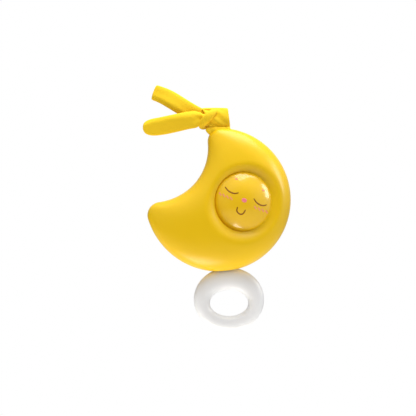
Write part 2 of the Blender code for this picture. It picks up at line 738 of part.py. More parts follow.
bush_low = RING_TOP + RUNNING
bush_shoulder = bush_low + WALL + BUSH_NECK
bush = [
    (BUSH_BORE, bush_low), (BUSH_BODY, bush_low), (BUSH_BODY, bush_shoulder), (BUSH_FLANGE, bush_shoulder),
    (BUSH_FLANGE, bush_shoulder + BUSH_LIP), (BUSH_BORE, bush_shoulder + BUSH_LIP),
]
cord_bush = solid("cord_bush", turned(bush, 20), nylon, place(RING_X, 0, 0))
hang(cord_bush, swing_pivot)

# ---------------------------------------------------------------- movement frame

frame_shape = block((plate_low[0], plate_y, plate_low[1]), (plate_high[0], plate_y + PLATE, plate_high[1]))
movement_frame = solid("movement_frame", frame_shape, zinc, MOON)
movement_room = helper(solid("movement_room", crescent(WALL + 2 * GAP), steel))
cheek_front = drum_y - CHEEK_HALF
left_cheek = box_helper(
    "left_cheek", (left_cheek_x, cheek_front, drum_z - CHEEK_HALF),
    (left_cheek_x + CHEEK, plate_y + PLATE / 2, cylinder_z + CHEEK_HALF),
)
right_cheek = box_helper(
    "right_cheek", (right_cheek_x, cheek_front, drum_z - CHEEK_HALF),
    (right_cheek_x + CHEEK, plate_y + PLATE / 2, fan_z + BRACKET_HALF),
)
shelf_low_z = comb_tip_z + COMB_TOOTH
shelf_y = drum_y + COMB_THICK / 2 + GAP
comb_shelf = box_helper(
    "comb_shelf", (cylinder_x + GAP, shelf_y, shelf_low_z),
    (cylinder_x + CYLINDER_WIDTH - GAP, plate_y + PLATE / 2, comb_top_z),
)
for part in (left_cheek, right_cheek, comb_shelf):
    combine(movement_frame, part, "UNION")
combine(movement_frame, movement_room, "INTERSECT")


def bearing_bores(name, radius, heights, start, end):
    """A helper of bores along X through the cheeks or the bracket."""
    shapes = [(rod(radius, start, end, 16), (-z, drum_y, 0)) for z in heights]
    return helper(solid(name, joined(shapes), steel, MOON, "X"))


bearings = bearing_bores(
    "bearings", ARBOR_RADIUS + GAP, (drum_z, cylinder_z), left_cheek_x - 0.002, right_cheek_x + CHEEK + 0.002
)
fine_bearings = bearing_bores(
    "fine_bearings", FINE_ARBOR + GAP, (idler_z, fan_z), right_cheek_x - 0.001, bracket_x + BRACKET + 0.002
)
frame_holes = rods("frame_holes", post_places, SCREW_RADIUS + GAP, plate_y - 0.002, plate_y + PLATE + 0.002)
comb_screw_places = [
    (cylinder_x + CYLINDER_WIDTH * share, (shelf_low_z + comb_top_z) / 2) for share in (0.22, 0.78)
]
comb_holes = rods(
    "comb_holes", comb_screw_places, COMB_SCREW_RADIUS + GAP, shelf_y - 0.004, shelf_y + COMB_SCREW_LENGTH, sides=12
)
for cutter in (bearings, fine_bearings, frame_holes, comb_holes):
    combine(movement_frame, cutter)
hang(movement_frame, swing_pivot)


def front_screw(name, x, z, seat, length, head, radius):
    """A screw driven towards +Y, with its head seated at Y = `seat`."""
    profile = [(0, -length), (radius, -length), (radius, 0), (head, 0), (head, FLAT_HEAD), (0, FLAT_HEAD)]
    made = solid(name, turned(profile, 12), steel, place(x, seat, z), "-Y")
    hang(made, swing_pivot)


for number, (x, z) in enumerate(post_places, 1):
    front_screw(
        f"movement_screw_{number}", x, z, plate_y - GAP, PLATE + FRAME_SCREW_BITE - 2 * GAP, SCREW_HEAD, SCREW_RADIUS
    )

comb_start = cylinder_x + COMB_MARGIN
comb_width = CYLINDER_WIDTH - 2 * COMB_MARGIN
comb_pitch = comb_width / NOTES
comb_outline = [(comb_width, COMB_TOOTH + COMB_BASE), (0, COMB_TOOTH + COMB_BASE)]
for note in range(NOTES):
    left = note * comb_pitch
    comb_outline += [
        (left, COMB_TOOTH if note else 0), (left, 0), (left + comb_pitch * TOOTH_SHARE, 0),
        (left + comb_pitch * TOOTH_SHARE, COMB_TOOTH),
    ][(0 if note else 1):]
comb_outline[-1] = (comb_width, COMB_TOOTH)
comb_outline[-2] = (comb_width, 0)
comb = solid(
    "comb", prism([(x, -z) for x, z in comb_outline], COMB_THICK), spring_steel,
    place(comb_start, drum_y - COMB_THICK / 2, comb_tip_z), "Y",
)
combine(comb, comb_holes)
hang(comb, swing_pivot)
for number, (x, z) in enumerate(comb_screw_places, 1):
    front_screw(
        f"comb_screw_{number}", x, z, drum_y - COMB_THICK / 2 - GAP, COMB_SCREW_LENGTH, COMB_SCREW_HEAD,
        COMB_SCREW_RADIUS,
    )

# ---------------------------------------------------------------- drum, spring and ratchet


def bored(name, shape, finish, x, z, parent, turn=0.0, radius=ARBOR_RADIUS + GAP):
    """A piece on an arbor along X, bored for it."""
    made = solid(name, shape, finish, place(x, drum_y, z), "X", turn)
    bore = helper(solid(f"{name}_bore", rod(radius, -0.002, 0.03, 16), steel, place(x, drum_y, z), "X"))
    combine(made, bore)
    hang(made, parent)
    return made


def arbor(name, z, start, end, parent):
    made = solid(name, rod(ARBOR_RADIUS, 0, end - start, 12), steel, place(start, drum_y, z), "X")
    hang(made, parent)


drum_core = DRUM_PITCH - WINDING - GAP
arbor_hole = ARBOR_RADIUS + GAP
drum_profile = [
    (arbor_hole, 0), (drum_flange, 0), (drum_flange, FLANGE), (drum_core, FLANGE),
    (drum_core, DRUM_WIDTH - FLANGE), (drum_flange, DRUM_WIDTH - FLANGE), (drum_flange, DRUM_WIDTH),
    (arbor_hole, DRUM_WIDTH),
]
cord_drum = solid("cord_drum", turned(drum_profile, 28), nylon, place(drum_x, drum_y, drum_z), "X")
hang(cord_drum, drum_pivot)
winding = sleeve(drum_core + GAP, winding_outer, FLANGE + GAP, DRUM_WIDTH - FLANGE - GAP, 28)
cord_winding = solid("cord_winding", winding, braid, place(drum_x, drum_y, drum_z), "X")
hang(cord_winding, drum_pivot)
arbor("drum_arbor", drum_z, left_cheek_x - ARBOR_STAND, right_cheek_x + CHEEK + RUNNING - GAP, drum_pivot)

ratchet_outline = []
for tooth in range(RATCHET_TEETH):
    for radius, share in ((RATCHET_RADIUS * 0.80, 0.0), (RATCHET_RADIUS, 0.92)):
        angle = (tooth + share) * math.tau / RATCHET_TEETH
        ratchet_outline.append((radius * math.cos(angle), radius * math.sin(angle)))
bored("ratchet_wheel", prism(ratchet_outline, RATCHET_WIDTH), steel, ratchet_x, drum_z, drum_pivot)

bored("great_wheel", gear(GREAT_TEETH, DRIVE_MODULE, GEAR_WIDTH), brass, great_x, drum_z, great_pivot)
pawl_outline = [(0.0049, -0.0010), (0.0080, -0.0015), (0.0086, 0.0004), (0.0080, 0.0017), (0.0049, 0.0004)]
pawl = solid("ratchet_pawl", prism(pawl_outline, PAWL_WIDTH), steel, place(ratchet_x, drum_y, drum_z), "X", 0.6)
hang(pawl, great_pivot)

barrel_profile = [
    (arbor_hole, 0), (BARREL_RADIUS, 0), (BARREL_RADIUS, BARREL_WIDTH - LID - GAP),
    (BARREL_RADIUS - BARREL_WALL, BARREL_WIDTH - LID - GAP), (BARREL_RADIUS - BARREL_WALL, BARREL_WALL),
    (arbor_hole, BARREL_WALL),
]
barrel = solid("spring_barrel", turned(barrel_profile, 28), brass, place(barrel_x, drum_y, drum_z), "X")
hang(barrel, swing_pivot)
lid = sleeve(arbor_hole, BARREL_RADIUS, BARREL_WIDTH - LID, BARREL_WIDTH, 28)
barrel_lid = solid("barrel_lid", lid, brass, place(barrel_x, drum_y, drum_z), "X")
hang(barrel_lid, swing_pivot)

spring_in = ARBOR_RADIUS + 0.0010
spring_out = BARREL_RADIUS - BARREL_WALL - 0.0008
sides = {0.0: [], SPRING_THICK: []}
for step in range(SPRING_TURNS * SPRING_STEPS + 1):
    share = step / (SPRING_TURNS * SPRING_STEPS)
    angle = share * SPRING_TURNS * math.tau
    for thick, points in sides.items():
        radius = spring_in + (spring_out - spring_in) * share + thick
        points.append((radius * math.cos(angle), radius * math.sin(angle)))
spring_outline = sides[SPRING_THICK] + sides[0.0][::-1]
mainspring = solid(
    "mainspring", prism(spring_outline, BARREL_WIDTH - LID - BARREL_WALL - 3 * GAP), spring_steel,
    place(barrel_x + BARREL_WALL + GAP, drum_y, drum_z), "X",
)
hang(mainspring, swing_pivot)

# ---------------------------------------------------------------- pinned cylinder and its gears

profile = [(arbor_hole, 0), (CYLINDER_RADIUS, 0)]
profile += [(CYLINDER_RADIUS, CYLINDER_MARGIN + note * comb_pitch) for note in range(NOTES)]
profile += [(CYLINDER_RADIUS, CYLINDER_WIDTH), (arbor_hole, CYLINDER_WIDTH)]
cylinder_shape = turned(profile, CYLINDER_SIDES)
for note in range(0, NOTES - 1, 2):
    for beat in range(3):
        angle = math.tau * ((note * 5 + beat * 8 + note * note) % CYLINDER_SIDES + 0.5) / CYLINDER_SIDES
        target = Vector((math.cos(angle), math.sin(angle), 0)) * CYLINDER_RADIUS
        target.z = CYLINDER_MARGIN + (note + 0.5) * comb_pitch
        face = min(cylinder_shape.faces, key=lambda one: (one.calc_center_median() - target).length)
        bmesh.ops.inset_individual(cylinder_shape, faces=[face], thickness=0.0002)
        bmesh.ops.translate(
            cylinder_shape, verts=face.verts, vec=Vector((math.cos(angle), math.sin(angle), 0)) * PIN_HEIGHT * 0.8
        )
music_cylinder = solid("pinned_cylinder", cylinder_shape, brass, place(cylinder_x, drum_y, cylinder_z), "X")
hang(music_cylinder, cylinder_pivot)
half_tooth = math.pi / CYLINDER_TEETH
bored(
    "cylinder_gear", gear(CYLINDER_TEETH, DRIVE_MODULE, GEAR_WIDTH), nylon, great_x, cylinder_z, cylinder_pivot,
    half_tooth,
)
bored("train_wheel", gear(WHEEL_TEETH, TRAIN_MODULE, GEAR_WIDTH), nylon, wheel_x, cylinder_z, cylinder_pivot)
arbor("cylinder_arbor", cylinder_z, left_cheek_x - ARBOR_STAND, right_cheek_x + CHEEK + RUNNING - GAP, cylinder_pivot)

# ---------------------------------------------------------------- idler and governor


def pinion_arbor(name, teeth, module, gear_x, z, start, end, parent, turn):
    """A pinion cut in one piece with its fine arbor."""
    made = solid(name, gear(teeth, module, GEAR_WIDTH), steel, place(gear_x, drum_y, z), "X", turn)
    shaft = helper(solid(
        f"{name}_shaft", rod(FINE_ARBOR, 0, end - start, 12), steel, place(start, drum_y, z), "X"
    ))
    combine(made, shaft, "UNION")
    hang(made, parent)


fine_end = bracket_x + BRACKET - GAP
pinion_arbor(
    "idler_arbor", PINION_TEETH, TRAIN_MODULE, wheel_x, idler_z, wheel_x - GAP, fine_end, idler_pivot,
    math.pi / PINION_TEETH,
)
bored(
    "idler_wheel", gear(IDLER_TEETH, FAN_MODULE, GEAR_WIDTH), nylon, idler_x, idler_z, idler_pivot,
    radius=FINE_ARBOR + GAP,
)
pinion_arbor(
    "governor_arbor", FAN_TEETH, FAN_MODULE, idler_x, fan_z, right_cheek_x + GAP, fine_end, fan_pivot,
    math.pi / FAN_TEETH,
)

fan_outline = [(-FAN_REACH, -FAN_HALF_THICK), (-FAN_HUB, -FAN_HALF_THICK)]
fan_outline += [(FAN_HUB * math.cos(turn), FAN_HUB * math.sin(turn)) for turn in (-2.4, -1.57, -0.75)]
fan_outline += [(FAN_HUB, -FAN_HALF_THICK), (FAN_REACH, -FAN_HALF_THICK)]
fan_outline += [(FAN_REACH, FAN_HALF_THICK), (FAN_HUB, FAN_HALF_THICK)]
fan_outline += [(FAN_HUB * math.cos(turn), FAN_HUB * math.sin(turn)) for turn in (0.75, 1.57, 2.4)]
fan_outline += [(-FAN_HUB, FAN_HALF_THICK), (-FAN_REACH, FAN_HALF_THICK)]
bored(
    "governor_fan", prism(fan_outline, FAN_WIDTH), nylon, fan_x, fan_z, fan_pivot, 0.5, radius=FINE_ARBOR + GAP
)

bracket = solid(
    "governor_bracket",
    block(
        (bracket_x, drum_y - BRACKET_HALF, idler_z - BRACKET_HALF),
        (bracket_x + BRACKET, drum_y + BRACKET_HALF, fan_z + BRACKET_HALF),
    ),
    zinc, MOON,
)
strut_y = drum_y + tip_radius(IDLER_TEETH, FAN_MODULE) + RUNNING
arm = box_helper(
    "bracket_arm", (bracket_x, drum_y + BRACKET_HALF / 2, idler_z - BRACKET_HALF),
    (bracket_x + BRACKET, strut_y + CHEEK, fan_z),
)
foot = box_helper(
    "bracket_foot", (right_cheek_x + CHEEK + GAP, strut_y, idler_z - BRACKET_HALF),
    (bracket_x + BRACKET / 2, strut_y + CHEEK, fan_z),
)
for part in (arm, foot):
    combine(bracket, part, "UNION")
combine(bracket, fine_bearings)
hang(bracket, swing_pivot)
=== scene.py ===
"""Looks of the crescent-moon cot pendant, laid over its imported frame.

Metres, +X right, +Y to the back, +Z up; the origin is the top of the tie's loop.
"""

import math

import bmesh
import bpy
from mathutils import Matrix, Vector


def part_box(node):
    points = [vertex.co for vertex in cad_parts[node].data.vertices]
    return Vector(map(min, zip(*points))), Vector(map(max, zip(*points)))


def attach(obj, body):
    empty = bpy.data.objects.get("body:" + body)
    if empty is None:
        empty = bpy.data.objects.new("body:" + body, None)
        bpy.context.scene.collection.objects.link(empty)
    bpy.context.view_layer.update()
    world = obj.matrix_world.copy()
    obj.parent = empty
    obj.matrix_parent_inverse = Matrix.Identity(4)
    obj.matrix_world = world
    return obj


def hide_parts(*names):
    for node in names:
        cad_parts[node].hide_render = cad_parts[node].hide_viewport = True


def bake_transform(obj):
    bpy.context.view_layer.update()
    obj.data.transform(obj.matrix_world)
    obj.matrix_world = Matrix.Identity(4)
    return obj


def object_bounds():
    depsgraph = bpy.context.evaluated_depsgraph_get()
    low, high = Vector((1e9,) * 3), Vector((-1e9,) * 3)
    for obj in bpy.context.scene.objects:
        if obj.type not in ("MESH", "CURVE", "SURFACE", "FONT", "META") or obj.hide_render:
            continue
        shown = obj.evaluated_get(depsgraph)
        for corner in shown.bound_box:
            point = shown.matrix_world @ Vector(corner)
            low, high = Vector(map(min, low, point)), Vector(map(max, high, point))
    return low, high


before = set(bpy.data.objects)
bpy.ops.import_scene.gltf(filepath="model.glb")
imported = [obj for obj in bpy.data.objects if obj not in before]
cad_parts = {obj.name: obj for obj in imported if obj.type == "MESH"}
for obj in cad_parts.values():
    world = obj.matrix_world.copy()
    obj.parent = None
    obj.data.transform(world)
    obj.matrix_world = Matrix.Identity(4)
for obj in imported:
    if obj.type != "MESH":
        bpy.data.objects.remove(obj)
cad_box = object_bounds()

# ---------------------------------------- camera and studio
# The pendant hangs in a plain white studio and is seen square on from its face. A long lens keeps the
# ring and the tie in true proportion. Soft boxes stand overhead and at the right, and a card lies below.

CAMERA_RANGE = 1.6
VIEW_WIDTH = 0.402
VIEW_CENTRE = (-0.0130, -0.0967)

camera_data = bpy.data.cameras.new("camera")
camera = bpy.data.objects.new("camera", camera_data)
bpy.context.scene.collection.objects.link(camera)
camera.location = (VIEW_CENTRE[0], -CAMERA_RANGE, VIEW_CENTRE[1])
camera.rotation_euler = (math.pi / 2, 0, 0)
camera_data.lens = camera_data.sensor_width * CAMERA_RANGE / VIEW_WIDTH
bpy.context.scene.camera = camera
bpy.context.scene.view_settings.view_transform = "Standard"


def area_light(name, place, target, size, power, colour=(1, 1, 1)):
    """A soft box of a width and height, turned to a target."""
    data = bpy.data.lights.new(name, "AREA")
    data.shape = "RECTANGLE"
    data.size, data.size_y = size
    data.energy = power
    data.color = colour
    lamp = bpy.data.objects.new(name, data)
    bpy.context.scene.collection.objects.link(lamp)
    lamp.location = place
    lamp.rotation_euler = (Vector(target) - Vector(place)).to_track_quat("-Z", "Y").to_euler()
    return lamp


AIM = (0.01, 0.0, -0.09)
area_light("overhead_box", (0.09, -0.12, 0.74), AIM, (0.80, 0.62), 8.8)
side_box = area_light("side_box", (0.74, -0.17, 0.21), AIM, (0.24, 0.40), 3.2)
side_box.visible_diffuse = False
area_light("low_card", (-0.22, -0.16, -0.80), AIM, (0.46, 0.30), 3.5, (1.0, 0.94, 0.84))

world = bpy.data.worlds.new("studio")
world.use_nodes = True
sky, sky_links = world.node_tree.nodes, world.node_tree.links
sky_way = sky.new("ShaderNodeTexCoord")


def sky_turn(way):
    """How far a direction turns towards `way`, from 0 to 1."""
    dot, spread = sky.new("ShaderNodeVectorMath"), sky.new("ShaderNodeMapRange")
    dot.operation = "DOT_PRODUCT"
    dot.inputs[1].default_value = way
    spread.inputs["From Min"].default_value = -1.0
    sky_links.new(sky_way.outputs["Generated"], dot.inputs[0])
    sky_links.new(dot.outputs["Value"], spread.inputs["Value"])
    return spread.outputs["Result"]


def grey_ramp(source, stops):
    """Greys at positions of a value, for the tent round the pendant."""
    ramp = sky.new("ShaderNodeValToRGB")
    for position, grey in stops:
        stop = ramp.color_ramp.elements.new(position)
        stop.color = (grey, grey, grey, 1)
    for extra in (0, -1):
        ramp.color_ramp.elements.remove(ramp.color_ramp.elements[extra])
    sky_links.new(source, ramp.inputs["Fac"])
    return ramp.outputs["Color"]


# The tent's wall glows more towards its upper right. It is dim round its front opening and behind.
wall_glow = grey_ramp(
    sky_turn((0.47, -0.15, 0.87)), ((0.0, 0.14), (0.25, 0.27), (0.5, 0.68), (0.7, 1.12), (1.0, 1.2))
)
opening_glow = grey_ramp(
    sky_turn((0, 1, 0)), ((0.0, 0.18), (0.05, 0.26), (0.16, 0.80), (0.5, 0.95), (0.85, 0.3), (1.0, 0.2))
)
tent = sky.new("ShaderNodeMix")
tent.data_type, tent.blend_type = "RGBA", "MULTIPLY"
tent.inputs["Factor"].default_value = 1.0
sky_links.new(wall_glow, tent.inputs["A"])
sky_links.new(opening_glow, tent.inputs["B"])
backdrop = grey_ramp(sky_turn((0, 0, 1)), ((0.0, 0.94), (0.38, 1.0), (1.0, 1.0)))
seen = sky.new("ShaderNodeLightPath")
choice = sky.new("ShaderNodeMix")
choice.data_type = "RGBA"
sky_links.new(seen.outputs["Is Camera Ray"], choice.inputs["Factor"])
sky_links.new(tent.outputs["Result"], choice.inputs["A"])
sky_links.new(backdrop, choice.inputs["B"])
sky_links.new(choice.outputs["Result"], sky["Background"].inputs["Color"])
sky["Background"].inputs["Strength"].default_value = 1.0
bpy.context.scene.world = world


def new_paint(name):
    """A material, with its nodes, its links and its Principled shader."""
    paint = bpy.data.materials.new(name)
    paint.use_nodes = True
    tree = paint.node_tree
    return paint, tree.nodes, tree.links, tree.nodes["Principled BSDF"]


def set_sockets(paint, values):
    """Plain values for the shader's own sockets, by name."""
    for socket, value in values.items():
        paint.node_tree.nodes["Principled BSDF"].inputs[socket].default_value = value


def finished(name, shape, *paints, sharp=40.0):
    """A finished object from a bmesh whose points are already in place."""
    mesh = bpy.data.meshes.new(name)
    shape.to_mesh(mesh)
    shape.free()
    for paint in paints:
        mesh.materials.append(paint)
    mesh.shade_smooth()
    mesh.set_sharp_from_angle(angle=math.radians(sharp))
    piece = bpy.data.objects.new(name, mesh)
    bpy.context.scene.collection.objects.link(piece)
    return piece


FLOOR_DROP = 0.75
floor_shape = bmesh.new()
bmesh.ops.create_circle(floor_shape, cap_ends=True, segments=96, radius=2.6)
bmesh.ops.translate(floor_shape, verts=floor_shape.verts, vec=(0, 0, cad_box[0][2] - FLOOR_DROP))
pale_floor = new_paint("pale_floor")[0]
set_sockets(pale_floor, {"Base Color": (0.88, 0.88, 0.88, 1), "Roughness": 0.8})
floor = finished("floor", floor_shape, pale_floor)

# ---------------------------------------- moulded shells
# The moon is two injection-moulded shells of yellow ABS with a fine satin texture, screwed together from
# behind. They part at Y = 0, where their edges are eased, and the front one sinks in a soft dish.

MOON = Vector((-0.0024, 0.0, -0.0887))
OUTER_RADIUS, BITE_RADIUS = 0.0693, 0.0525
BITE = Vector((math.cos(math.radians(141.5)), math.sin(math.radians(141.5)))) * 0.0807
HALF_SUM = (OUTER_RADIUS + BITE_RADIUS) / 2
HALF_OFFSET = BITE.length / 2
BELLY_HALF_WIDTH = OUTER_RADIUS - HALF_SUM + HALF_OFFSET
BELLY_HALF_DEPTH, DEPTH_POWER, SECTION_POWER = 0.029, 0.62, 2.5
HORN_RADIUS, SIDE_HORN_REACH = 0.013, 0.0018
HORN_TURN = math.acos((HORN_RADIUS - OUTER_RADIUS + HALF_SUM) / HALF_OFFSET)
FACE = Vector((0.0226, 0.0, -0.0019)) + MOON
DOME_RADIUS, DOME_ASPECT, DOME_RISE = 0.0292, 0.94, 0.0113
DISH_RADIUS, DISH_FLOOR, DISH_FLAT, DISH_SHIFT = 0.0372, 0.0190, 0.0275, (0.0036, -0.0010)
DISH_SLOPE, DISH_SLOPE_POWER, DISH_LEAN, DISH_EASE = 0.0098, 1.25, 0.0014, 0.0078
SHELL_WALL, PARTING, RIM_EASE, CROWN_FLAT, CROWN_EASE = 0.0025, 0.0003, 0.00045, 0.0012, 0.0008
TIP_END = 0.985  # how far round a horn's tip the last hoop lies


def settled(piece):
    """Applies the piece's modifiers."""
    graph = bpy.context.evaluated_depsgraph_get()
    mesh = bpy.data.meshes.new_from_object(piece.evaluated_get(graph), depsgraph=graph)
    piece.modifiers.clear()
    piece.data = mesh


def superellipse(angle, power):
    """A point of a unit square-shouldered circle."""
    c, s = math.cos(angle), math.sin(angle)
    return math.copysign(abs(c) ** (2 / power), c), math.copysign(abs(s) ** (2 / power), s)


def moon_edges(turn, share):
    """The outer and the inner edge point of the crescent at `turn` from its belly; share runs round a horn's tip."""
    away = -BITE.normalized()
    across = Vector((-away.y, away.x))
    minor = math.sqrt(HALF_SUM**2 - HALF_OFFSET**2)
    point = BITE / 2 + away * HALF_SUM * math.cos(turn) + across * minor * math.sin(turn)
    reach = OUTER_RADIUS - HALF_SUM + HALF_OFFSET * math.cos(turn)
    outward, inward = point.normalized(), (BITE - point).normalized()
    tip = Vector((-outward.y, outward.x)) - Vector((-inward.y, inward.x))
    tip = tip.normalized() * math.copysign(1, turn)
    lean = max(0.0, -turn / HORN_TURN)
    point = point + Vector((-0.97, -0.24)) * SIDE_HORN_REACH * lean * lean
    return [point + direction.slerp(tip, share) * reach for direction in (outward, inward)]


def skinned(shape, hoops, round_again=False):
    """Bridges hoops of edges in a row, which closes on itself or has its ends filled."""
    for first, second in zip(hoops, hoops[1:] + (hoops[:1] if round_again else [])):
        bmesh.ops.bridge_loops(shape, edges=first + second)
    if not round_again:
        for end in (hoops[0], hoops[-1]):
            bmesh.ops.edgeloop_fill(shape, edges=end)
    bmesh.ops.recalc_face_normals(shape, faces=shape.faces)
    return shape


def moon_form(stations=104, sides=72, tip_rings=12):
    """Hoops of points along the crescent, bridged, with a small face at each tip."""
    turns = [HORN_TURN * (2 * step / stations - 1) for step in range(stations + 1)]
    rounds = [math.sin(math.pi / 2 * step / tip_rings) * TIP_END for step in range(1, tip_rings + 1)]
    marks = [(turns[0], share) for share in reversed(rounds)]
    marks += [(turn, 0.0) for turn in turns]
    marks += [(turns[-1], share) for share in rounds]
    shape = bmesh.new()
    hoops = []
    for turn, share in marks:
        outer, inner = moon_edges(turn, share)
        middle, half = (outer + inner) / 2, (outer - inner) / 2
        depth = BELLY_HALF_DEPTH * (half.length / BELLY_HALF_WIDTH) ** DEPTH_POWER
        hoop = bmesh.ops.create_circle(shape, segments=sides, radius=1.0)["verts"]
        for number, vert in enumerate(hoop):
            u, v = superellipse(math.tau * (number + 0.5) / sides, SECTION_POWER)
            flat = middle + half * u
            vert.co = MOON + Vector((flat.x, depth * v, flat.y))
        hoops.append(sorted({edge for vert in hoop for edge in vert.link_edges}, key=lambda one: one.index))
    return skinned(shape, hoops)


def soft_least(first, second, ease):
    """The smaller of both, with the corner between them eased."""
    mix = max(0.0, min(1.0, 0.5 + 0.5 * (second - first) / ease))
    return second + (first - second) * mix - ease * mix * (1 - mix)


def sink_dish(shape):
    """Presses the dish round the face into the front."""
    for vert in shape.verts:
        if vert.co.y >= 0:
            continue
        x, z = vert.co.x - FACE.x, vert.co.z - FACE.z
        reach = math.hypot(x - DISH_SHIFT[0], z - DISH_SHIFT[1])
        slope = max(0.0, (reach - DISH_FLAT) / (DISH_RADIUS - DISH_FLAT))
        lean = max(0.0, -0.6 * x - 0.8 * z) / max(reach, 1e-6)  # towards the lower left
        floor_depth = DISH_FLOOR + DISH_SLOPE * slope**DISH_SLOPE_POWER + DISH_LEAN * lean
        if reach < DISH_RADIUS + 0.02:
            vert.co.y = -soft_least(-vert.co.y, floor_depth, DISH_EASE)


def cut_away(shape, height, keep):
    """Keeps what lies on one side of a plane at Y = height and leaves the rim open."""
    parts = list(shape.verts) + list(shape.edges) + list(shape.faces)
    bmesh.ops.bisect_plane(
        shape, geom=parts, dist=1e-7, plane_co=(0, height, 0), plane_no=(0, keep, 0), clear_inner=True
    )


def group_socket(group, name, kind, way="INPUT", default=None):
    """A named way in or out of a node group."""
    socket = group.interface.new_socket(name=name, in_out=way, socket_type=kind)
    if default is not None:
        socket.default_value = default


def wire(links, *rows):
    """Joins sockets; each row is a node, its output, the next node and its input."""
    for source, out, target, socket in rows:
        links.new(source.outputs[out], target.inputs[socket])


def make_tint_group():
    """Slow cloudy variation of a colour, and a little of it in the roughness, as moulded plastic has."""
    group = bpy.data.node_groups.new("moulded_tint", "ShaderNodeTree")
    for name, kind, default in (
        ("Colour", "NodeSocketColor", (0.8, 0.8, 0.8, 1)), ("Shade", "NodeSocketColor", (0.6, 0.6, 0.6, 1)),
        ("Cloud Scale", "NodeSocketFloat", 18.0), ("Rough Low", "NodeSocketFloat", 0.3),
        ("Rough High", "NodeSocketFloat", 0.4), ("Grain Scale", "NodeSocketFloat", 900.0),
    ):
        group_socket(group, name, kind, "INPUT", default)
    group_socket(group, "Colour", "NodeSocketColor", "OUTPUT")
    group_socket(group, "Roughness", "NodeSocketFloat", "OUTPUT")
    group_socket(group, "Grain", "NodeSocketFloat", "OUTPUT")
    nodes, links = group.nodes, group.links
    inlet, outlet = nodes.new("NodeGroupInput"), nodes.new("NodeGroupOutput")
    coordinates = nodes.new("ShaderNodeTexCoord")
    cloud, grain = nodes.new("ShaderNodeTexNoise"), nodes.new("ShaderNodeTexNoise")
    cloud.inputs["Detail"].default_value = 2.0
    grain.inputs["Detail"].default_value = 3.0
    mix = nodes.new("ShaderNodeMix")
    mix.data_type = "RGBA"
    spread = nodes.new("ShaderNodeMapRange")
    wire(
        links, (coordinates, "Object", cloud, "Vector"), (coordinates, "Object", grain, "Vector"),
        (inlet, "Cloud Scale", cloud, "Scale"), (inlet, "Grain Scale", grain, "Scale"),
        (cloud, "Fac", mix, "Factor"), (inlet, "Colour", mix, "A"), (inlet, "Shade", mix, "B"),
        (grain, "Fac", spread, "Value"), (inlet, "Rough Low", spread, "To Min"),
        (inlet, "Rough High", spread, "To Max"), (mix, "Result", outlet, "Colour"),
        (spread, "Result", outlet, "Roughness"), (grain, "Fac", outlet, "Grain"),
    )
    return group


tint_group = make_tint_group()


def moulded(name, colour, shade, rough, grain_depth, coat=0.0, coat_rough=0.1, cloud=18.0, grain=900.0, metal=0.0):
    """A material whose colour, roughness and fine grain come from the tint group."""
    paint, nodes, links, shader = new_paint(name)
    tint = nodes.new("ShaderNodeGroup")
    tint.node_tree = tint_group
    tint.inputs["Colour"].default_value = (*colour, 1)
    tint.inputs["Shade"].default_value = (*shade, 1)
    tint.inputs["Cloud Scale"].default_value = cloud
    tint.inputs["Rough Low"].default_value = rough[0]
    tint.inputs["Rough High"].default_value = rough[1]
    tint.inputs["Grain Scale"].default_value = grain
    bump = nodes.new("ShaderNodeBump")
    bump.inputs["Distance"].default_value = grain_depth
    wire(
        links, (tint, "Colour", shader, "Base Color"), (tint, "Roughness", shader, "Roughness"),
        (tint, "Grain", bump, "Height"), (bump, "Normal", shader, "Normal"),
    )
    set_sockets(paint, {"Metallic": metal, "Coat Weight": coat, "Coat Roughness": coat_rough})
    return paint


satin_yellow = moulded(
    "satin_yellow", (0.92, 0.58, 0.004), (0.89, 0.545, 0.0035), (0.29, 0.37), 0.00001, coat=0.06, coat_rough=0.30
)
set_sockets(satin_yellow, {
    "Specular IOR Level": 0.30, "Subsurface Weight": 0.06, "Subsurface Radius": (0.006, 0.003, 0.0005),
    "Subsurface Scale": 1.0,
})


def tool_rod(name, radius, low, high, places, sides=40):
    """Round cutters along Y at (x, z) places."""
    shape = bmesh.new()
    for x, z in places:
        turn = Matrix.Rotation(-math.pi / 2, 4, "X")
        bmesh.ops.create_cone(
            shape, cap_ends=True, segments=sides, radius1=radius, radius2=radius, depth=high - low,
            matrix=Matrix.Translation((x, (low + high) / 2, z)) @ turn,
        )
    return finished(name, shape)


def carve(piece, tool, way="DIFFERENCE"):
    """Cuts with a tool, applies the cut and throws the tool away."""
    modifier = piece.modifiers.new("cut", "BOOLEAN")
    modifier.solver = "EXACT"
    modifier.operation = way
    modifier.object = tool
    settled(piece)
    bpy.data.objects.remove(tool)


def shell_half(name, keep):
    """One shell with its wall and its eased rim; keep is the side of the parting plane, -1 for the front."""
    shape = moon_form()
    if keep < 0:
        sink_dish(shape)
    else:
        for vert in shape.verts:
            crown = BELLY_HALF_DEPTH - CROWN_FLAT
            if vert.co.y > crown - 0.002:
                vert.co.y = soft_least(vert.co.y, crown, CROWN_EASE)
    cut_away(shape, keep * PARTING / 2, keep)
    piece = finished(name, shape, satin_yellow)
    wall = piece.modifiers.new("wall", "SOLIDIFY")
    wall.thickness = SHELL_WALL
    wall.offset = -1
    wall.use_even_offset = True
    settled(piece)
    half = bmesh.new()
    half.from_mesh(piece.data)
    rim = [
        edge for edge in half.edges
        if all(abs(vert.co.y - keep * PARTING / 2) < 1e-5 for vert in edge.verts)
        and len(edge.link_faces) == 2
        and edge.calc_face_angle(0) > math.radians(50)
    ]
    bmesh.ops.bevel(
        half, geom=rim, offset=RIM_EASE, affect="EDGES", segments=2, profile=0.5, material=-1, clamp_overlap=True
    )
    half.to_mesh(piece.data)
    half.free()
    return piece


front = shell_half("moon_front", -1)
rear = shell_half("moon_rear", 1)

# Both halves take the ring's seat, the tie's slot and the bush's bore. The rear one also has screw wells and
# rings of sound holes, and each well is a post that ends in a counterbore.

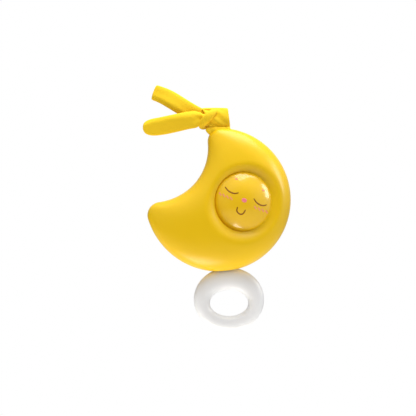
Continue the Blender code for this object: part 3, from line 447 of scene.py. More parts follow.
RING_SIZE, RING_SHIFT = (0.0680, 0.0140, 0.0616), 0.0097
SEAT_GAP, SEAT_EASE = 0.0005, 0.0030
SLOT_DEPTH, SLOT_HEIGHT, SLOT_DROP = 0.0090, 0.030, 0.0012
SCREW_HEAD, SCREW_SHANK, WELL, WELL_FLOOR, BUSH_BORE = 0.0027, 0.0014, 0.0046, 0.0060, 0.0029
SOUND_HOLE, SOUND_RINGS, SOUND_TURN = 0.0012, ((0.0050, 6), (0.0095, 12)), 0.30


def middle_of(node):
    """The middle of a node's box."""
    low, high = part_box(node)
    return Vector([(a + b) / 2 for a, b in zip(low, high)])


RING = MOON + Vector((RING_SHIFT, 0.0, 0.0))
RING.z = middle_of("pull_ring").z
screw_places = [(middle_of(f"housing_screw_{n}").x, middle_of(f"housing_screw_{n}").z) for n in range(1, 5)]


def seat_tool():
    """The hollow that the ring's top is drawn up into."""
    shape = bmesh.new()
    turn = Matrix.Rotation(math.pi / 2, 4, "X")
    bmesh.ops.create_cone(
        shape, cap_ends=True, segments=96, radius1=1, radius2=1, depth=RING_SIZE[1] + 2 * SEAT_GAP, matrix=turn
    )
    bmesh.ops.scale(shape, verts=shape.verts, vec=(RING_SIZE[0] / 2 + SEAT_GAP, 1, RING_SIZE[2] / 2 + SEAT_GAP))
    bmesh.ops.translate(shape, verts=shape.verts, vec=RING)
    caps = [edge for edge in shape.edges if abs(edge.verts[0].co.y - edge.verts[1].co.y) < 1e-6]
    bmesh.ops.bevel(shape, geom=caps, offset=SEAT_EASE, affect="EDGES", segments=5, profile=0.5, material=-1)
    return finished("seat_tool", shape)


def slot_tool():
    """The slot across the upper horn that the tie goes through."""
    low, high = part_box("tie_loop")
    shape = bmesh.new()
    bmesh.ops.create_cube(shape, size=1)
    bmesh.ops.scale(shape, verts=shape.verts, vec=(high[0] - low[0] + 2 * SEAT_GAP, SLOT_DEPTH, SLOT_HEIGHT))
    upright = [edge for edge in shape.edges if abs(edge.verts[0].co.z - edge.verts[1].co.z) > 0.01]
    bmesh.ops.bevel(shape, geom=upright, offset=SEAT_EASE, affect="EDGES", segments=5, profile=0.5, material=-1)
    lift = low[2] - SLOT_DROP + SLOT_HEIGHT / 2
    bmesh.ops.translate(shape, verts=shape.verts, vec=((low[0] + high[0]) / 2, 0, lift))
    return finished("slot_tool", shape)


def bore_tool(name, middle, radius, length, sides=40):
    """A round cutter along Z."""
    shape = bmesh.new()
    bmesh.ops.create_cone(
        shape, cap_ends=True, segments=sides, radius1=radius, radius2=radius, depth=length,
        matrix=Matrix.Translation(middle),
    )
    return finished(name, shape)


bush_low, bush_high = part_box("cord_bush")
for shell in (front, rear):
    carve(shell, seat_tool())
    carve(shell, slot_tool())
    carve(shell, bore_tool("bush_bore", middle_of("cord_bush"), BUSH_BORE, bush_high[2] - bush_low[2] + 0.004))

opening = tool_rod("face_opening", 1.0, -DISH_FLOOR - 0.02, -DISH_FLOOR + 0.008, [(0, 0)], sides=96)
opening_radius = DOME_RADIUS - 0.0005
opening.data.transform(
    Matrix.Translation(FACE) @ Matrix.Diagonal((opening_radius * DOME_ASPECT, 1, opening_radius, 1))
)
carve(front, opening)

well_form = moon_form()
bmesh.ops.recalc_face_normals(well_form, faces=well_form.faces)
for vert in well_form.verts:
    vert.co -= vert.normal * SHELL_WALL / 2
wells = tool_rod("wells", WELL, PARTING / 2, 0.04, screw_places)
carve(wells, finished("well_form", well_form), "INTERSECT")
carve(rear, wells, "UNION")
carve(rear, tool_rod("counterbores", SCREW_HEAD + 0.0005, WELL_FLOOR, 0.05, screw_places))
carve(rear, tool_rod("shank_holes", SCREW_SHANK + 0.0003, -0.002, WELL_FLOOR + 0.001, screw_places))

sound_edges = moon_edges(HORN_TURN * SOUND_TURN, 0.0)
sound_middle = (sound_edges[0] + sound_edges[1]) / 2
sound_x, sound_z = MOON.x + sound_middle.x, MOON.z + sound_middle.y
sound_places = [(sound_x, sound_z)]
for reach, count in SOUND_RINGS:
    turns = [math.tau * step / count for step in range(count)]
    sound_places += [(sound_x + reach * math.cos(turn), sound_z + reach * math.sin(turn)) for turn in turns]
carve(rear, tool_rod("sound_holes", SOUND_HOLE, 0.010, 0.05, sound_places, sides=24))

for shell, node in ((front, "front_shell"), (rear, "rear_shell")):
    shell.data.set_sharp_from_angle(angle=math.radians(40))
    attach(shell, "housing")
    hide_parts(node)

# ---------------------------------------- face dome
# A polished dome of lighter yellow ABS, an ellipse a little taller than wide, snaps into the dish from
# behind. Its rim goes straight down into the floor.

glossy_yellow = moulded(
    "glossy_yellow", (0.93, 0.575, 0.008), (0.91, 0.55, 0.007), (0.20, 0.25), 0.000002, coat=0.35, coat_rough=0.06
)
set_sockets(glossy_yellow, {"Specular IOR Level": 0.35})
DOME_POWER, DOME_SINK, DOME_SKIRT, DOME_WALL, DOME_HOLLOW = 0.82, 0.0003, 0.0040, 0.0018, 0.0016


def dome_depth(x, z):
    """How far the dome stands in front of the parting plane, at (x, z) from its middle."""
    share = (x / (DOME_RADIUS * DOME_ASPECT)) ** 2 + (z / DOME_RADIUS) ** 2
    return DISH_FLOOR - DOME_SINK + (DOME_RISE + DOME_SINK) * max(0.0, 1 - share) ** DOME_POWER


def lathed(profile, steps):
    """A bmesh turned about Y from (radius, height) points."""
    shape = bmesh.new()
    chain = [shape.verts.new((radius, height, 0)) for radius, height in profile]
    for first, second in zip(chain, chain[1:]):
        shape.edges.new((first, second))
    bmesh.ops.spin(
        shape, geom=list(shape.verts) + list(shape.edges), cent=(0, 0, 0), axis=(0, 1, 0), angle=math.tau,
        steps=steps, use_merge=True,
    )
    return shape


radii = [DOME_RADIUS * math.sin(math.pi / 2 * step / 56) for step in range(57)]
foot, hollow_radius = DISH_FLOOR - DOME_SKIRT, DOME_RADIUS - DOME_WALL
profile = [(radius, dome_depth(0, radius)) for radius in radii] + [(DOME_RADIUS, foot), (hollow_radius, foot)]
for turn in [math.pi / 2 * step / 16 for step in range(1, 17)]:
    profile.append((hollow_radius * math.cos(turn), foot + (DOME_RISE + DOME_HOLLOW) * math.sin(turn) ** 1.3))
dome_shape = lathed(profile, 128)
bmesh.ops.remove_doubles(dome_shape, verts=dome_shape.verts, dist=1e-6)
bmesh.ops.scale(dome_shape, verts=dome_shape.verts, vec=(DOME_ASPECT, -1, 1))
bmesh.ops.translate(dome_shape, verts=dome_shape.verts, vec=FACE)
bmesh.ops.recalc_face_normals(dome_shape, faces=dome_shape.faces)
dome = finished("face_cap", dome_shape, glossy_yellow)
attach(dome, "housing")
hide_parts("face_dome")

# ---------------------------------------- printed face
# The sleeping face is pad-printed on the dome in two inks: brown lines for the eyes and the smile, and
# pink for the nose, the cheeks and the brows. Each mark is a thin film that follows the dome.

INK_STAND = 0.00006


def ink(name, colour, shade):
    """A thin film of pad-printing ink."""
    paint = moulded(
        name, colour, shade, (0.34, 0.46), 0.000004, coat=0.1, coat_rough=0.1, cloud=700.0, grain=2500.0
    )
    set_sockets(paint, {"Specular IOR Level": 0.2})
    return paint


brown_ink = ink("brown_ink", (0.30, 0.088, 0.001), (0.24, 0.064, 0.001))
pink_ink = ink("pink_ink", (0.95, 0.20, 0.28), (0.95, 0.27, 0.28))
pale_ink = ink("pale_ink", (0.95, 0.30, 0.20), (0.95, 0.36, 0.14))


def between(p, t):
    """A point at t, from 0 to 1, between the middle two of four, on the smooth curve through them."""
    return 0.5 * (
        2 * p[1] + (p[2] - p[0]) * t + (2 * p[0] - 5 * p[1] + 4 * p[2] - p[3]) * t * t
        + (3 * p[1] - p[0] - 3 * p[2] + p[3]) * t**3
    )


def smooth_way(points, share):
    """A point on a smooth curve through `points`, at 0 to 1 along them."""
    count = len(points) - 1
    place = min(max(share, 0.0), 1.0) * count
    index = min(int(place), count - 1)
    return between([Vector(points[min(max(index + k, 0), count)]) for k in (-1, 0, 1, 2)], place - index)


def heading(points, share, reach=0.01):
    """The direction of that curve at 0 to 1 along it."""
    return (smooth_way(points, min(share + reach, 1.0)) - smooth_way(points, max(share - reach, 0.0))).normalized()


def stroke(name, points, width, paint, taper=0.0, steps=36, across=6):
    """A round-ended line of ink through (x, z) points in millimetres from the dome's middle."""
    shape = bmesh.new()
    bmesh.ops.create_grid(shape, x_segments=steps, y_segments=across, size=1)
    length = sum((Vector(b) - Vector(a)).length for a, b in zip(points, points[1:])) / 1000
    half = width / 2
    for vert in shape.verts:
        along = (vert.co.x + 1) / 2 * (length + 2 * half) - half
        side = vert.co.y
        beyond = max(0.0, -along, along - length) / half
        reach = half * math.sqrt(max(0.0, 1 - beyond * beyond))
        share = min(max(along / length, 0.0), 1.0)
        reach *= 1 - taper * (2 * share - 1) ** 2
        here = smooth_way(points, share)
        ahead = heading(points, share, 0.02)
        spill = max(0.0, along - length) if along > length else min(0.0, along)
        x = here.x / 1000 + ahead.x * spill - ahead.y * side * reach
        z = here.y / 1000 + ahead.y * spill + ahead.x * side * reach
        vert.co = FACE + Vector((x, -dome_depth(x, z) - INK_STAND, z))
    bmesh.ops.remove_doubles(shape, verts=shape.verts, dist=1e-7)
    bmesh.ops.recalc_face_normals(shape, faces=shape.faces)
    if sum(face.normal.y for face in shape.faces) > 0:
        bmesh.ops.reverse_faces(shape, faces=shape.faces)
    piece = finished(name, shape, paint)
    film = piece.modifiers.new("film", "SOLIDIFY")
    film.thickness = INK_STAND * 1.6
    film.offset = -1
    settled(piece)
    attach(piece, "housing")


LINE = 0.00125
stroke("eye_left", [(-16.7, 13.7), (-14.2, 10.6), (-10.9, 8.5), (-7.6, 7.7), (-4.6, 8.3)], LINE, brown_ink, 0.25)
stroke("eye_right", [(10.5, 2.5), (13.0, -0.9), (16.4, -3.1), (19.6, -3.8), (22.3, -3.1)], LINE, brown_ink, 0.25)
stroke(
    "smile", [(-5.2, -5.5), (-5.9, -8.5), (-4.4, -11.0), (-2.0, -12.1), (0.4, -11.1), (2.2, -8.2)], LINE,
    brown_ink, 0.2,
)
stroke("nose", [(0.7, 1.42), (1.7, 0.98)], 0.0038, pink_ink)
for side, start, end in (("left", (-21.6, 7.3), (-11.2, 3.0)), ("right", (11.8, -5.8), (22.6, -9.7))):
    for mark in range(4):
        x, z = Vector(start).lerp(Vector(end), mark / 3)
        stroke(f"blush_{side}_{mark + 1}", [(x - 0.75, z + 1.15), (x + 0.75, z - 1.15)], 0.00120, pale_ink)
stroke("brow_left", [(-6.9, 21.9), (-5.6, 21.5)], 0.0016, pale_ink)
stroke("brow_right", [(19.0, 11.0), (20.0, 10.6)], 0.0016, pale_ink)

# ---------------------------------------- pull ring
# The ring is moulded in white polypropylene. It is broader than high, and its finger hole sits a little
# low. The cord comes in at the top, and its knot sits in a pocket above the finger hole.

FINGER_SIZE, FINGER_DROP, RING_POWER = (0.0370, 0.0252), 0.0035, 2.3


def hoop_edges(shape, points, layer=None, ways=()):
    """A closed hoop of points, as its edges; ways are values for the layer, one a point."""
    hoop = bmesh.ops.create_circle(shape, segments=len(points), radius=1.0)["verts"]
    for vert, point in zip(hoop, points):
        vert.co = point
    for vert, way in zip(hoop, ways):
        vert[layer] = way
    return [shape.edges.get(pair) for pair in zip(hoop, hoop[1:] + hoop[:1])]


satin_white = moulded(
    "satin_white", (0.93, 0.93, 0.935), (0.90, 0.90, 0.91), (0.34, 0.46), 0.000008, coat=0.10, coat_rough=0.25
)
set_sockets(satin_white, {
    "Subsurface Weight": 0.15, "Subsurface Radius": (0.004, 0.004, 0.004), "Subsurface Scale": 1.0,
})

ring_shape = bmesh.new()
ring_hoops = []
for station in range(144):
    turn = math.tau * station / 144
    c, s = math.cos(turn), math.sin(turn)
    outer = Vector((RING_SIZE[0] / 2 * c, RING_SIZE[2] / 2 * s))
    inner = Vector((FINGER_SIZE[0] / 2 * c, FINGER_SIZE[1] / 2 * s - FINGER_DROP))
    middle, half = (outer + inner) / 2, (outer - inner) / 2
    points = []
    for side in range(44):
        u, v = superellipse(math.tau * side / 44, RING_POWER)
        flat = middle + half * u
        points.append(RING + Vector((flat.x, RING_SIZE[1] / 2 * v, flat.y)))
    ring_hoops.append(hoop_edges(ring_shape, points))
ring = finished("finger_ring", skinned(ring_shape, ring_hoops, round_again=True), satin_white)

KNOT = middle_of("cord_knot")
CORD_RADIUS, POCKET_RADIUS, POCKET_DEPTH = 0.0009, 0.0030, 0.0110
carve(ring, bore_tool("pocket", (KNOT.x, 0, KNOT.z - 0.0024), POCKET_RADIUS, POCKET_DEPTH))
carve(ring, bore_tool("cord_way", (KNOT.x, 0, KNOT.z + 0.014), CORD_RADIUS + 0.0005, 0.030, sides=32))
ring.data.set_sharp_from_angle(angle=math.radians(40))
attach(ring, "ring")
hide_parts("pull_ring")

# ---------------------------------------- cord and knot
# A braided white polyester cord comes down from the drum, through the bush and the ring's top. It ends in
# an overhand knot in the ring's pocket.


def sum_of(group, operation, first, second=None):
    """A sum in a group on one or two values, the second a socket or a plain number."""
    node = group.nodes.new("ShaderNodeMath")
    node.operation = operation
    group.links.new(first, node.inputs[0])
    if isinstance(second, float):
        node.inputs[1].default_value = second
    elif second is not None:
        group.links.new(second, node.inputs[1])
    return node.outputs["Value"]


def cloth_ways(group):
    """How far along and how far round a woven or knitted piece a point lies."""
    way, parts = group.nodes.new("ShaderNodeAttribute"), group.nodes.new("ShaderNodeSeparateXYZ")
    way.attribute_name = "cloth_way"
    group.links.new(way.outputs["Vector"], parts.inputs["Vector"])
    return parts.outputs["X"], parts.outputs["Y"]


def make_braid_group():
    """Strands that cross each other along a cord, as a height, from the piece's own way round."""
    group = bpy.data.node_groups.new("braided_strands", "ShaderNodeTree")
    group_socket(group, "Strands Along", "NodeSocketFloat", "INPUT", 900.0)
    group_socket(group, "Strands Round", "NodeSocketFloat", "INPUT", 8.0)
    group_socket(group, "Height", "NodeSocketFloat", "OUTPUT")
    inlet, outlet = group.nodes.new("NodeGroupInput"), group.nodes.new("NodeGroupOutput")
    along, around = cloth_ways(group)
    along = sum_of(group, "MULTIPLY", along, inlet.outputs["Strands Along"])
    around = sum_of(group, "MULTIPLY", around, inlet.outputs["Strands Round"])
    waves = [sum_of(group, "SINE", sum_of(group, lean, along, around)) for lean in ("ADD", "SUBTRACT")]
    group.links.new(sum_of(group, "MAXIMUM", *waves), outlet.inputs["Height"])
    return group


def braided(name, colour, strands):
    """Braided cord, with painted shade between its strands, where the braid sinks."""
    paint, nodes, links, shader = new_paint(name)
    braid = nodes.new("ShaderNodeGroup")
    braid.node_tree = braid_group
    braid.inputs["Strands Along"].default_value = strands
    # Painted shade: the ramp darkens the colour to 0.62 where the braid's height is low, between the strands.
    tone = nodes.new("ShaderNodeValToRGB")
    tone.color_ramp.elements[0].color = (*(part * 0.62 for part in colour), 1)
    tone.color_ramp.elements[1].color = (*colour, 1)
    bump = nodes.new("ShaderNodeBump")
    bump.inputs["Distance"].default_value = 0.00008
    wire(
        links, (braid, "Height", tone, "Fac"), (tone, "Color", shader, "Base Color"),
        (braid, "Height", bump, "Height"), (bump, "Normal", shader, "Normal"),
    )
    set_sockets(paint, {"Roughness": 0.72, "Sheen Weight": 0.3})
    return paint


braid_group = make_braid_group()
white_braid = braided("white_braid", (0.80, 0.80, 0.77), 3400.0)


def woven_shape():
    """A bmesh whose points can say how far along and how far round they lie, for a weave to follow."""
    shape = bmesh.new()
    return shape, shape.verts.layers.float_vector.new("cloth_way")


def woven_hoop(shape, layer, points, along, arounds):
    """A closed hoop of points with their way along and round stored, as its edges."""
    return hoop_edges(shape, points, layer, [(along, around, 0.0) for around in arounds])


def tube_along(name, points, radii, paint, sides=16, steps=60, flat=1.0):
    """A round or flattened roll along a smooth way through points; radii run with it."""
    shape, layer = woven_shape()
    hoops, along, last = [], 0.0, None
    for step in range(steps + 1):
        share = step / steps
        here = smooth_way(points, share)
        ahead = heading(points, share)
        side = ahead.cross(Vector((0, 1, 0)))
        side = side.normalized() if side.length > 0.05 else Vector((1, 0, 0))
        up = side.cross(ahead).normalized()
        radius = smooth_way([(value, 0) for value in radii], share).x
        along += (here - last).length if last is not None else 0.0
        last = here
        angles = [math.tau * number / sides for number in range(sides)]
        hoop = [here + (side * math.cos(angle) + up * math.sin(angle) * flat) * radius for angle in angles]
        hoops.append(woven_hoop(shape, layer, hoop, along, angles))
    return finished(name, skinned(shape, hoops), paint, sharp=70.0)


cord_low, cord_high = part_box("pull_cord")
cord_line = [Vector((KNOT.x, 0, cord_high[2] + (cord_low[2] - cord_high[2]) * step / 12)) for step in range(13)]
cord = tube_along("braided_cord", cord_line, [CORD_RADIUS] * 4, white_braid, steps=120)
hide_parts("pull_cord")
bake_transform(cord)

KNOT_REACH = 0.0014
knot_turns = []
for share in [step / 33 for step in range(34)]:
    angle = share * math.tau * 1.5
    reach = KNOT_REACH + 0.0002 * math.sin(math.tau * share)
    knot_turns.append(KNOT + Vector((
        reach * math.cos(angle), reach * math.sin(angle) * (1 - 0.35 * share),
        KNOT_REACH * math.cos(math.pi * share * 1.6) - 0.0002,
    )))
knot = tube_along("cord_stopper_knot", knot_turns, [CORD_RADIUS * 0.98] * 4, white_braid, steps=110)
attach(knot, "ring")
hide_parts("cord_knot")

# ---------------------------------------- jersey tie
# A strip of doubled cotton jersey, sewn into a flat tube and turned, goes round the pin in the upper horn
# and is knotted at the left above it. Its two ends leave the knot, one squared and one rounded.


def make_knit_group():
    """Jersey: small V stitches in columns along the strip, with a little fuzz, painted shade in the furrows between
    stitches and a slow variation of the dye.
    """
    group = bpy.data.node_groups.new("jersey_knit", "ShaderNodeTree")
    group_socket(group, "Colour", "NodeSocketColor", "INPUT", (0.9, 0.6, 0.02, 1))
    group_socket(group, "Shade", "NodeSocketColor", "INPUT", (0.8, 0.45, 0.01, 1))
    group_socket(group, "Columns", "NodeSocketFloat", "INPUT", 1900.0)
    group_socket(group, "Courses", "NodeSocketFloat", "INPUT", 2500.0)
    group_socket(group, "Colour", "NodeSocketColor", "OUTPUT")
    group_socket(group, "Height", "NodeSocketFloat", "OUTPUT")
    nodes, links = group.nodes, group.links
    inlet, outlet = nodes.new("NodeGroupInput"), nodes.new("NodeGroupOutput")
    along, across = cloth_ways(group)
    column = sum_of(group, "MULTIPLY", across, inlet.outputs["Columns"])
    course = sum_of(group, "MULTIPLY", along, inlet.outputs["Courses"])
    leg = sum_of(group, "ABSOLUTE", sum_of(group, "SUBTRACT", sum_of(group, "FRACT", column), 0.5))
    lean = sum_of(group, "FRACT", sum_of(group, "ADD", course, leg))
    bulge = sum_of(group, "SINE", sum_of(group, "MULTIPLY", lean, math.pi))
    twice = sum_of(group, "FRACT", sum_of(group, "MULTIPLY", column, 2.0))
    furrow = sum_of(group, "SINE", sum_of(group, "MULTIPLY", twice, math.pi))
    stitch = sum_of(group, "MULTIPLY", bulge, furrow)
    coordinates = nodes.new("ShaderNodeTexCoord")
    fuzz, dye = nodes.new("ShaderNodeTexNoise"), nodes.new("ShaderNodeTexNoise")
    fuzz.inputs["Scale"].default_value = 2600.0
    dye.inputs["Scale"].default_value = 60.0
    mix = nodes.new("ShaderNodeMix")
    mix.data_type = "RGBA"
    wire(
        links, (coordinates, "Object", fuzz, "Vector"), (coordinates, "Object", dye, "Vector"),
        (inlet, "Shade", mix, "A"), (inlet, "Colour", mix, "B"), (mix, "Result", outlet, "Colour"),
    )
    # Painted shade and dye: the colour goes towards Shade where the stitches sink, and it also varies slowly with the
    # dye noise.
    tone = sum_of(group, "MULTIPLY", sum_of(group, "ADD", stitch, dye.outputs["Fac"]), 0.5)
    links.new(tone, mix.inputs["Factor"])
    height = sum_of(group, "ADD", stitch, sum_of(group, "MULTIPLY", fuzz.outputs["Fac"], 0.5))
    links.new(height, outlet.inputs["Height"])
    return group


knit_group = make_knit_group()


def jersey_cloth(name, colour, shade):
    """Knitted jersey with a slight sheen."""
    paint, nodes, links, shader = new_paint(name)
    knit = nodes.new("ShaderNodeGroup")
    knit.node_tree = knit_group
    knit.inputs["Colour"].default_value = (*colour, 1)
    knit.inputs["Shade"].default_value = (*shade, 1)
    bump = nodes.new("ShaderNodeBump")
    bump.inputs["Distance"].default_value = 0.00003
    bump.inputs["Strength"].default_value = 0.5
    wire(
        links, (knit, "Colour", shader, "Base Color"), (knit, "Height", bump, "Height"),
        (bump, "Normal", shader, "Normal"),
    )
    set_sockets(paint, {
        "Roughness": 0.78, "Specular IOR Level": 0.25, "Sheen Weight": 0.15, "Sheen Tint": (1.0, 0.86, 0.25, 1),
    })
    return paint


yellow_jersey = jersey_cloth("yellow_jersey_cloth", (0.95, 0.64, 0.012), (0.92, 0.585, 0.009))


def eased(values, share):
    """A value read on a smooth curve through (share, value) pairs."""
    for (a, first), (b, second) in zip(values, values[1:]):
        if share <= b:
            t = max(0.0, (share - a) / (b - a))
            return first + (second - first) * t * t * (3 - 2 * t)
    return values[-1][1]


def rounded(piece):
    """A piece of jersey, subdivided once and smooth all over."""
    smooth = piece.modifiers.new("smooth", "SUBSURF")
    smooth.levels = smooth.render_levels = 1
    settled(piece)
    piece.data.shade_smooth()
    return piece


STRIP_POWER, LOOP_POWER, LOOP_THICK = 2.15, 3.0, 0.0018


def strip(name, way, widths, thick, end_radius, end_power, ripple, sides=36, steps=72):
    """A tail of the tie: a flat sewn tube along (x, y, z) millimetre points, with its end closed.

    ripple(along, across) pushes both faces along Y, in metres, for folds.
    """
    shape, layer = woven_shape()
    points = [Vector(point) / 1000 for point in way]
    length = sum((b - a).length for a, b in zip(points, points[1:]))
    hoops = []
    marks = [step / steps * (1 - 1.4 * end_radius / length) for step in range(steps + 1)]
    marks += [1 - 1.4 * end_radius / length * (1 - math.sin(math.pi / 2 * step / 14)) for step in range(1, 15)]
    for share in marks:
        here = smooth_way(points, share)
        ahead = heading(points, share)
        across = Vector((-ahead.z, 0, ahead.x)).normalized()
        left = (1 - share) * length
        closing = 1.0
        if left < end_radius:
            closing = max(0.04, (1 - (1 - left / end_radius) ** end_power) ** (1 / end_power))
        half = eased(widths, share) / 2000 * closing
        body = thick / 2 * (0.35 + 0.65 * min(1.0, closing * 1.4)) * eased([(0, 0.8), (0.3, 1.0), (1, 0.9)], share)
        hoop, arounds = [], []
        for number in range(sides):
            u, v = superellipse(math.tau * number / sides, STRIP_POWER)
            hoop.append(here + across * half * u + Vector((0, body * v + ripple(share, u), 0)))
            arounds.append(half * (u + 1))
        hoops.append(woven_hoop(shape, layer, hoop, share * length, arounds))
    return rounded(finished(name, skinned(shape, hoops), yellow_jersey, sharp=80.0))


def groove(share, across, middle_start, middle_end, reach, depth, width):
    """A crease that runs out from the knot and fades."""
    if share > reach:
        return 0.0
    fade = (1 - share / reach) ** 1.3
    middle = middle_start + (middle_end - middle_start) * share / reach
    return depth * fade * math.exp(-(((across - middle) / width) ** 2))


def lower_folds(share, across):
    """How far the rounded end's faces are pushed along Y."""
    wave = 0.0009 * math.sin(share * 9.0 + across * 1.1) * min(1.0, share * 3)
    crown = -0.0014 * math.exp(-(((across + 0.45) / 0.5) ** 2)) * min(1.0, share * 2.5)
    return (
        wave + crown + groove(share, across, 0.05, -0.35, 0.42, 0.0030, 0.16)
        + groove(share, across, -0.25, 0.30, 0.50, 0.0022, 0.14)
        + groove(share, across, 0.5, 0.62, 0.30, 0.0014, 0.14)
    )


def upper_folds(share, across):
    """The same for the squared end."""
    wave = 0.0010 * math.sin(share * 7.0 - across * 0.8 + 1.0) * min(1.0, share * 3)
    crown = -0.0012 * math.exp(-(((across - 0.5) / 0.45) ** 2))
    return wave + crown + groove(share, across, 0.1, 0.2, 0.6, 0.0020, 0.22)


lower_tail = strip(
    "tie_end_rounded",
    [(-12.5, -4.2, -9.6), (-18.5, -4.6, -10.8), (-25.0, -4.4, -11.3), (-33.3, -3.9, -12.5),
     (-46.4, -3.5, -15.3), (-60.0, -3.6, -18.0), (-75.8, -4.4, -19.9)],
    [(0, 6.5), (0.10, 8.4), (0.22, 13.6), (0.38, 16.9), (0.75, 17.4), (1, 16.4)], 0.0068, 0.0082, 2.0, lower_folds,
)
upper_tail = strip(
    "tie_end_squared",
    [(-12.0, 2.0, -9.5), (-18.5, 3.2, -8.6), (-24.6, 3.9, -6.2), (-32.5, 4.0, -1.9), (-40.6, 3.8, 3.0),
     (-48.6, 3.7, 7.9), (-56.6, 3.6, 12.1), (-66.0, 3.4, 15.6)],
    [(0, 8.0), (0.12, 13.0), (0.25, 16.2), (0.7, 16.8), (1, 15.4)], 0.0062, 0.0030, 3.2, upper_folds,
)
for tail, node, length in ((lower_tail, "tie_tail_lower", 0.066), (upper_tail, "tie_tail_upper", 0.060)):
    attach(tail, "tie")
    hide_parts(node)


def loop_strip():
    """The strip's closed way round the pin, up in front, over at the top and down behind."""
    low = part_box("tie_loop")[0][2] * 1000
    way = [
        # y, z, left edge, right edge, in millimetres
        (0.0, low - 0.2, -8.0, 7.4), (-2.4, low + 1.0, -8.0, 7.4), (-3.1, -30.5, -8.1, 7.6), (-3.5, -28.2, -9.0, 8.1),
        (-5.2, -26.0, -12.0, 8.9), (-6.4, -23.0, -14.9, 9.1), (-6.0, -20.4, -15.1, 8.9), (-4.2, -18.6, -12.6, 8.4),
        (-5.4, -15.8, -13.6, 8.2), (-6.0, -11.0, -15.0, 7.6), (-5.2, -6.5, -16.0, 7.0), (-3.8, -3.2, -17.4, 6.6),
        (-2.3, -1.4, -18.6, 6.3), (0.0, -0.7, -19.0, 6.1), (2.3, -1.4, -18.4, 6.3), (3.8, -3.4, -17.0, 6.6),
        (5.0, -7.0, -14.6, 7.0), (5.4, -11.5, -11.8, 7.6), (4.8, -16.0, -10.2, 8.2), (4.2, -18.6, -10.4, 8.5),
        (5.2, -20.4, -12.6, 8.9), (5.6, -23.0, -12.4, 9.0), (4.6, -25.6, -9.8, 8.7), (3.5, -28.0, -8.4, 8.1),
        (3.1, -30.5, -8.1, 7.6), (2.4, low + 1.0, -8.0, 7.4),
    ]
    count = len(way)
    shape, layer = woven_shape()
    hoops, along, last = [], 0.0, None
    steps, sides = 156, 40
    for step in range(steps):
        place = step / steps * count
        index = int(place)
        p = [Vector(way[(index + k) % count]) for k in (-1, 0, 1, 2)]
        here = between(p, place - index)
        slope = (p[2] - p[1]).lerp(p[2] - p[0], 0.5)
        ahead = Vector((0, slope[0], slope[1])).normalized()
        out = Vector((0, ahead.z, -ahead.y))
        middle = Vector(((here[2] + here[3]) / 2000, here[0] / 1000, here[1] / 1000))
        half, z = (here[3] - here[2]) / 2000, middle.z * 1000
        along += (middle - last).length if last is not None else 0.0
        last = middle
        hoop, arounds = [], []
        for number in range(sides):
            u, v = superellipse(math.tau * number / sides, LOOP_POWER)
            fold = 0.0
            if middle.y < 0 and -18 < z < -2:
                # shallow folds fan out from the knot over the front
                fold = 0.0011 * math.sin(u * 5.2 + z * 0.55) * math.exp(-(((u + 0.35) / 0.7) ** 2))
            if -27 < z < -17:
                fold += 0.0005 * math.sin(u * 11 + 1.5)
            hoop.append(middle + Vector((half * u, fold, 0)) + out * (LOOP_THICK / 2 * v))
            arounds.append(half * (u + 1))
        hoops.append(woven_hoop(shape, layer, hoop, along, arounds))
    return rounded(finished("tie_loop_strip", skinned(shape, hoops, round_again=True), yellow_jersey, sharp=80.0))


loop = loop_strip()
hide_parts("tie_band", "tie_loop")
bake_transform(loop)


def wrap(name, points, radii, flat, steps=84):
    """A rolled turn of the knot, flattened across its way."""
    way, reaches = [Vector(point) / 1000 for point in points], [radius / 1000 for radius in radii]
    piece = rounded(tube_along(name, way, reaches, yellow_jersey, 28, steps, flat=flat))
    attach(piece, "tie")
    return piece


strap = wrap(
    "knot_strap",
    [(-9.5, 5.6, -12.5), (-14.5, 5.6, -16.4), (-18.0, 1.6, -17.2), (-18.4, -3.4, -15.6), (-16.2, -7.2, -12.8),
     (-13.2, -8.8, -9.8), (-10.2, -8.3, -6.6), (-7.4, -6.0, -4.2), (-5.4, -2.6, -3.0), (-5.6, 1.6, -3.2)],
    [2.6, 3.3, 3.7, 3.9, 4.1, 4.1, 3.8, 3.1, 2.2, 1.8], 0.80,
)
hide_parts("tie_knot")
back_wrap = wrap(
    "knot_back_turn",
    [(-7.0, 3.6, -4.0), (-10.0, 6.6, -5.0), (-14.4, 7.6, -8.0), (-17.6, 6.6, -12.0), (-18.4, 3.4, -15.2)],
    [2.2, 3.0, 3.4, 3.2, 2.2], 0.86,
)
core = wrap(
    "knot_core",
    [(-19.0, -1.0, -9.6), (-16.0, -0.8, -11.0), (-12.0, -0.6, -12.2), (-8.0, 0.2, -12.0)],
    [2.2, 4.8, 5.4, 3.0], 1.0, steps=48,
)

# ---------------------------------------- housing screws
# Four plated pan-head screws sit deep in the rear shell's wells. Each has a cross recess and is driven
# from behind into the front shell's posts.

HEAD_HEIGHT, HEAD_EDGE, POINT_HEIGHT, POINT_RADIUS = 0.0018, 0.0009, 0.0012, 0.0005
BIT_REACH, BIT_CORNER, BIT_TIP, BIT_DEPTH, BIT_LENGTH = 0.0015, 0.00035, 0.55, 0.0012, 0.0024


def bare_metal(name, colour, shade, rough, grain_depth, cloud, grain):
    """A metal with its machining or casting grain."""
    return moulded(name, colour, shade, rough, grain_depth, cloud=cloud, grain=grain, metal=1.0)


plated_steel = bare_metal(
    "plated_steel", (0.56, 0.57, 0.58), (0.47, 0.48, 0.50), (0.22, 0.38), 0.000004, 400.0, 3000.0
)


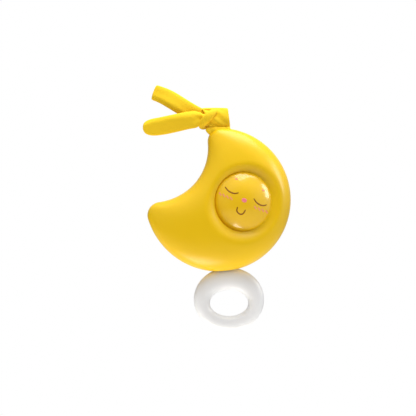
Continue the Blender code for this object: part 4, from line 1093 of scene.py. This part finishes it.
def cross_bit(place):
    """A tapered cross, for the driver's recess, with its small end at a place."""
    shape = bmesh.new()
    quarter = [Vector((BIT_REACH, -BIT_CORNER)), Vector((BIT_REACH, BIT_CORNER)), Vector((BIT_CORNER, BIT_CORNER))]
    for turn in range(4):
        for point in quarter:
            across, up = Matrix.Rotation(turn * math.pi / 2, 2) @ point
            shape.verts.new((across * BIT_TIP, 0, up * BIT_TIP))
    bmesh.ops.contextual_create(shape, geom=shape.verts)
    grown = bmesh.ops.extrude_face_region(shape, geom=shape.faces[:])["geom"]
    broad = [part for part in grown if isinstance(part, bmesh.types.BMVert)]
    bmesh.ops.scale(shape, verts=broad, vec=(1 / BIT_TIP, 1, 1 / BIT_TIP))
    bmesh.ops.translate(shape, verts=broad, vec=(0, BIT_LENGTH, 0))
    bmesh.ops.translate(shape, verts=shape.verts, vec=place)
    bmesh.ops.recalc_face_normals(shape, faces=shape.faces)
    return finished("cross_bit", shape)


for number, (x, z) in enumerate(screw_places, 1):
    node = f"housing_screw_{number}"
    tip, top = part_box(node)[0][1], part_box(node)[1][1]
    seat = top - HEAD_HEIGHT
    screw_shape = lathed([
        (POINT_RADIUS, tip), (SCREW_SHANK, tip + POINT_HEIGHT), (SCREW_SHANK, seat), (SCREW_HEAD, seat),
        (SCREW_HEAD, seat + HEAD_EDGE), (SCREW_HEAD * 0.93, seat + 0.0013), (SCREW_HEAD * 0.76, seat + 0.0016),
        (SCREW_HEAD * 0.4, top), (0.0001, top),
    ], 40)
    bmesh.ops.holes_fill(screw_shape, edges=screw_shape.edges)
    bmesh.ops.recalc_face_normals(screw_shape, faces=screw_shape.faces)
    bmesh.ops.translate(screw_shape, verts=screw_shape.verts, vec=(x, 0, z))
    screw = finished(f"pan_screw_{number}", screw_shape, plated_steel, sharp=30.0)
    carve(screw, cross_bit((x, top - BIT_DEPTH, z)))
    screw.data.materials.clear()
    screw.data.materials.append(plated_steel)
    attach(screw, "housing")
    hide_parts(node)

# ---------------------------------------- movement inside the shells
# The wound movement is turned brass, plated and blued steel, a zinc casting and moulded nylon. Its pieces
# keep their own shapes and take the finish each is made in.

finishes = {
    "steel": plated_steel,
    "spring_steel": bare_metal(
        "blued_spring_steel", (0.16, 0.20, 0.30), (0.26, 0.24, 0.28), (0.20, 0.34), 0.000003, 260.0, 2600.0
    ),
    "brass": bare_metal(
        "turned_brass", (0.74, 0.53, 0.22), (0.62, 0.42, 0.16), (0.20, 0.36), 0.000004, 220.0, 2400.0
    ),
    "zinc_casting": bare_metal(
        "zinc_cast", (0.46, 0.47, 0.48), (0.38, 0.39, 0.41), (0.42, 0.60), 0.000020, 180.0, 1500.0
    ),
    "nylon": moulded(
        "natural_nylon", (0.84, 0.82, 0.74), (0.78, 0.76, 0.68), (0.38, 0.52), 0.000006, 0.05, cloud=120.0,
        grain=1800.0,
    ),
    "white_braid": moulded(
        "wound_braid", (0.80, 0.80, 0.77), (0.60, 0.60, 0.57), (0.66, 0.82), 0.000060, cloud=2200.0, grain=3600.0
    ),
}
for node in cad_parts.values():
    for place in node.material_slots:
        if place.material and place.material.name in finishes:
            place.material = finishes[place.material.name]
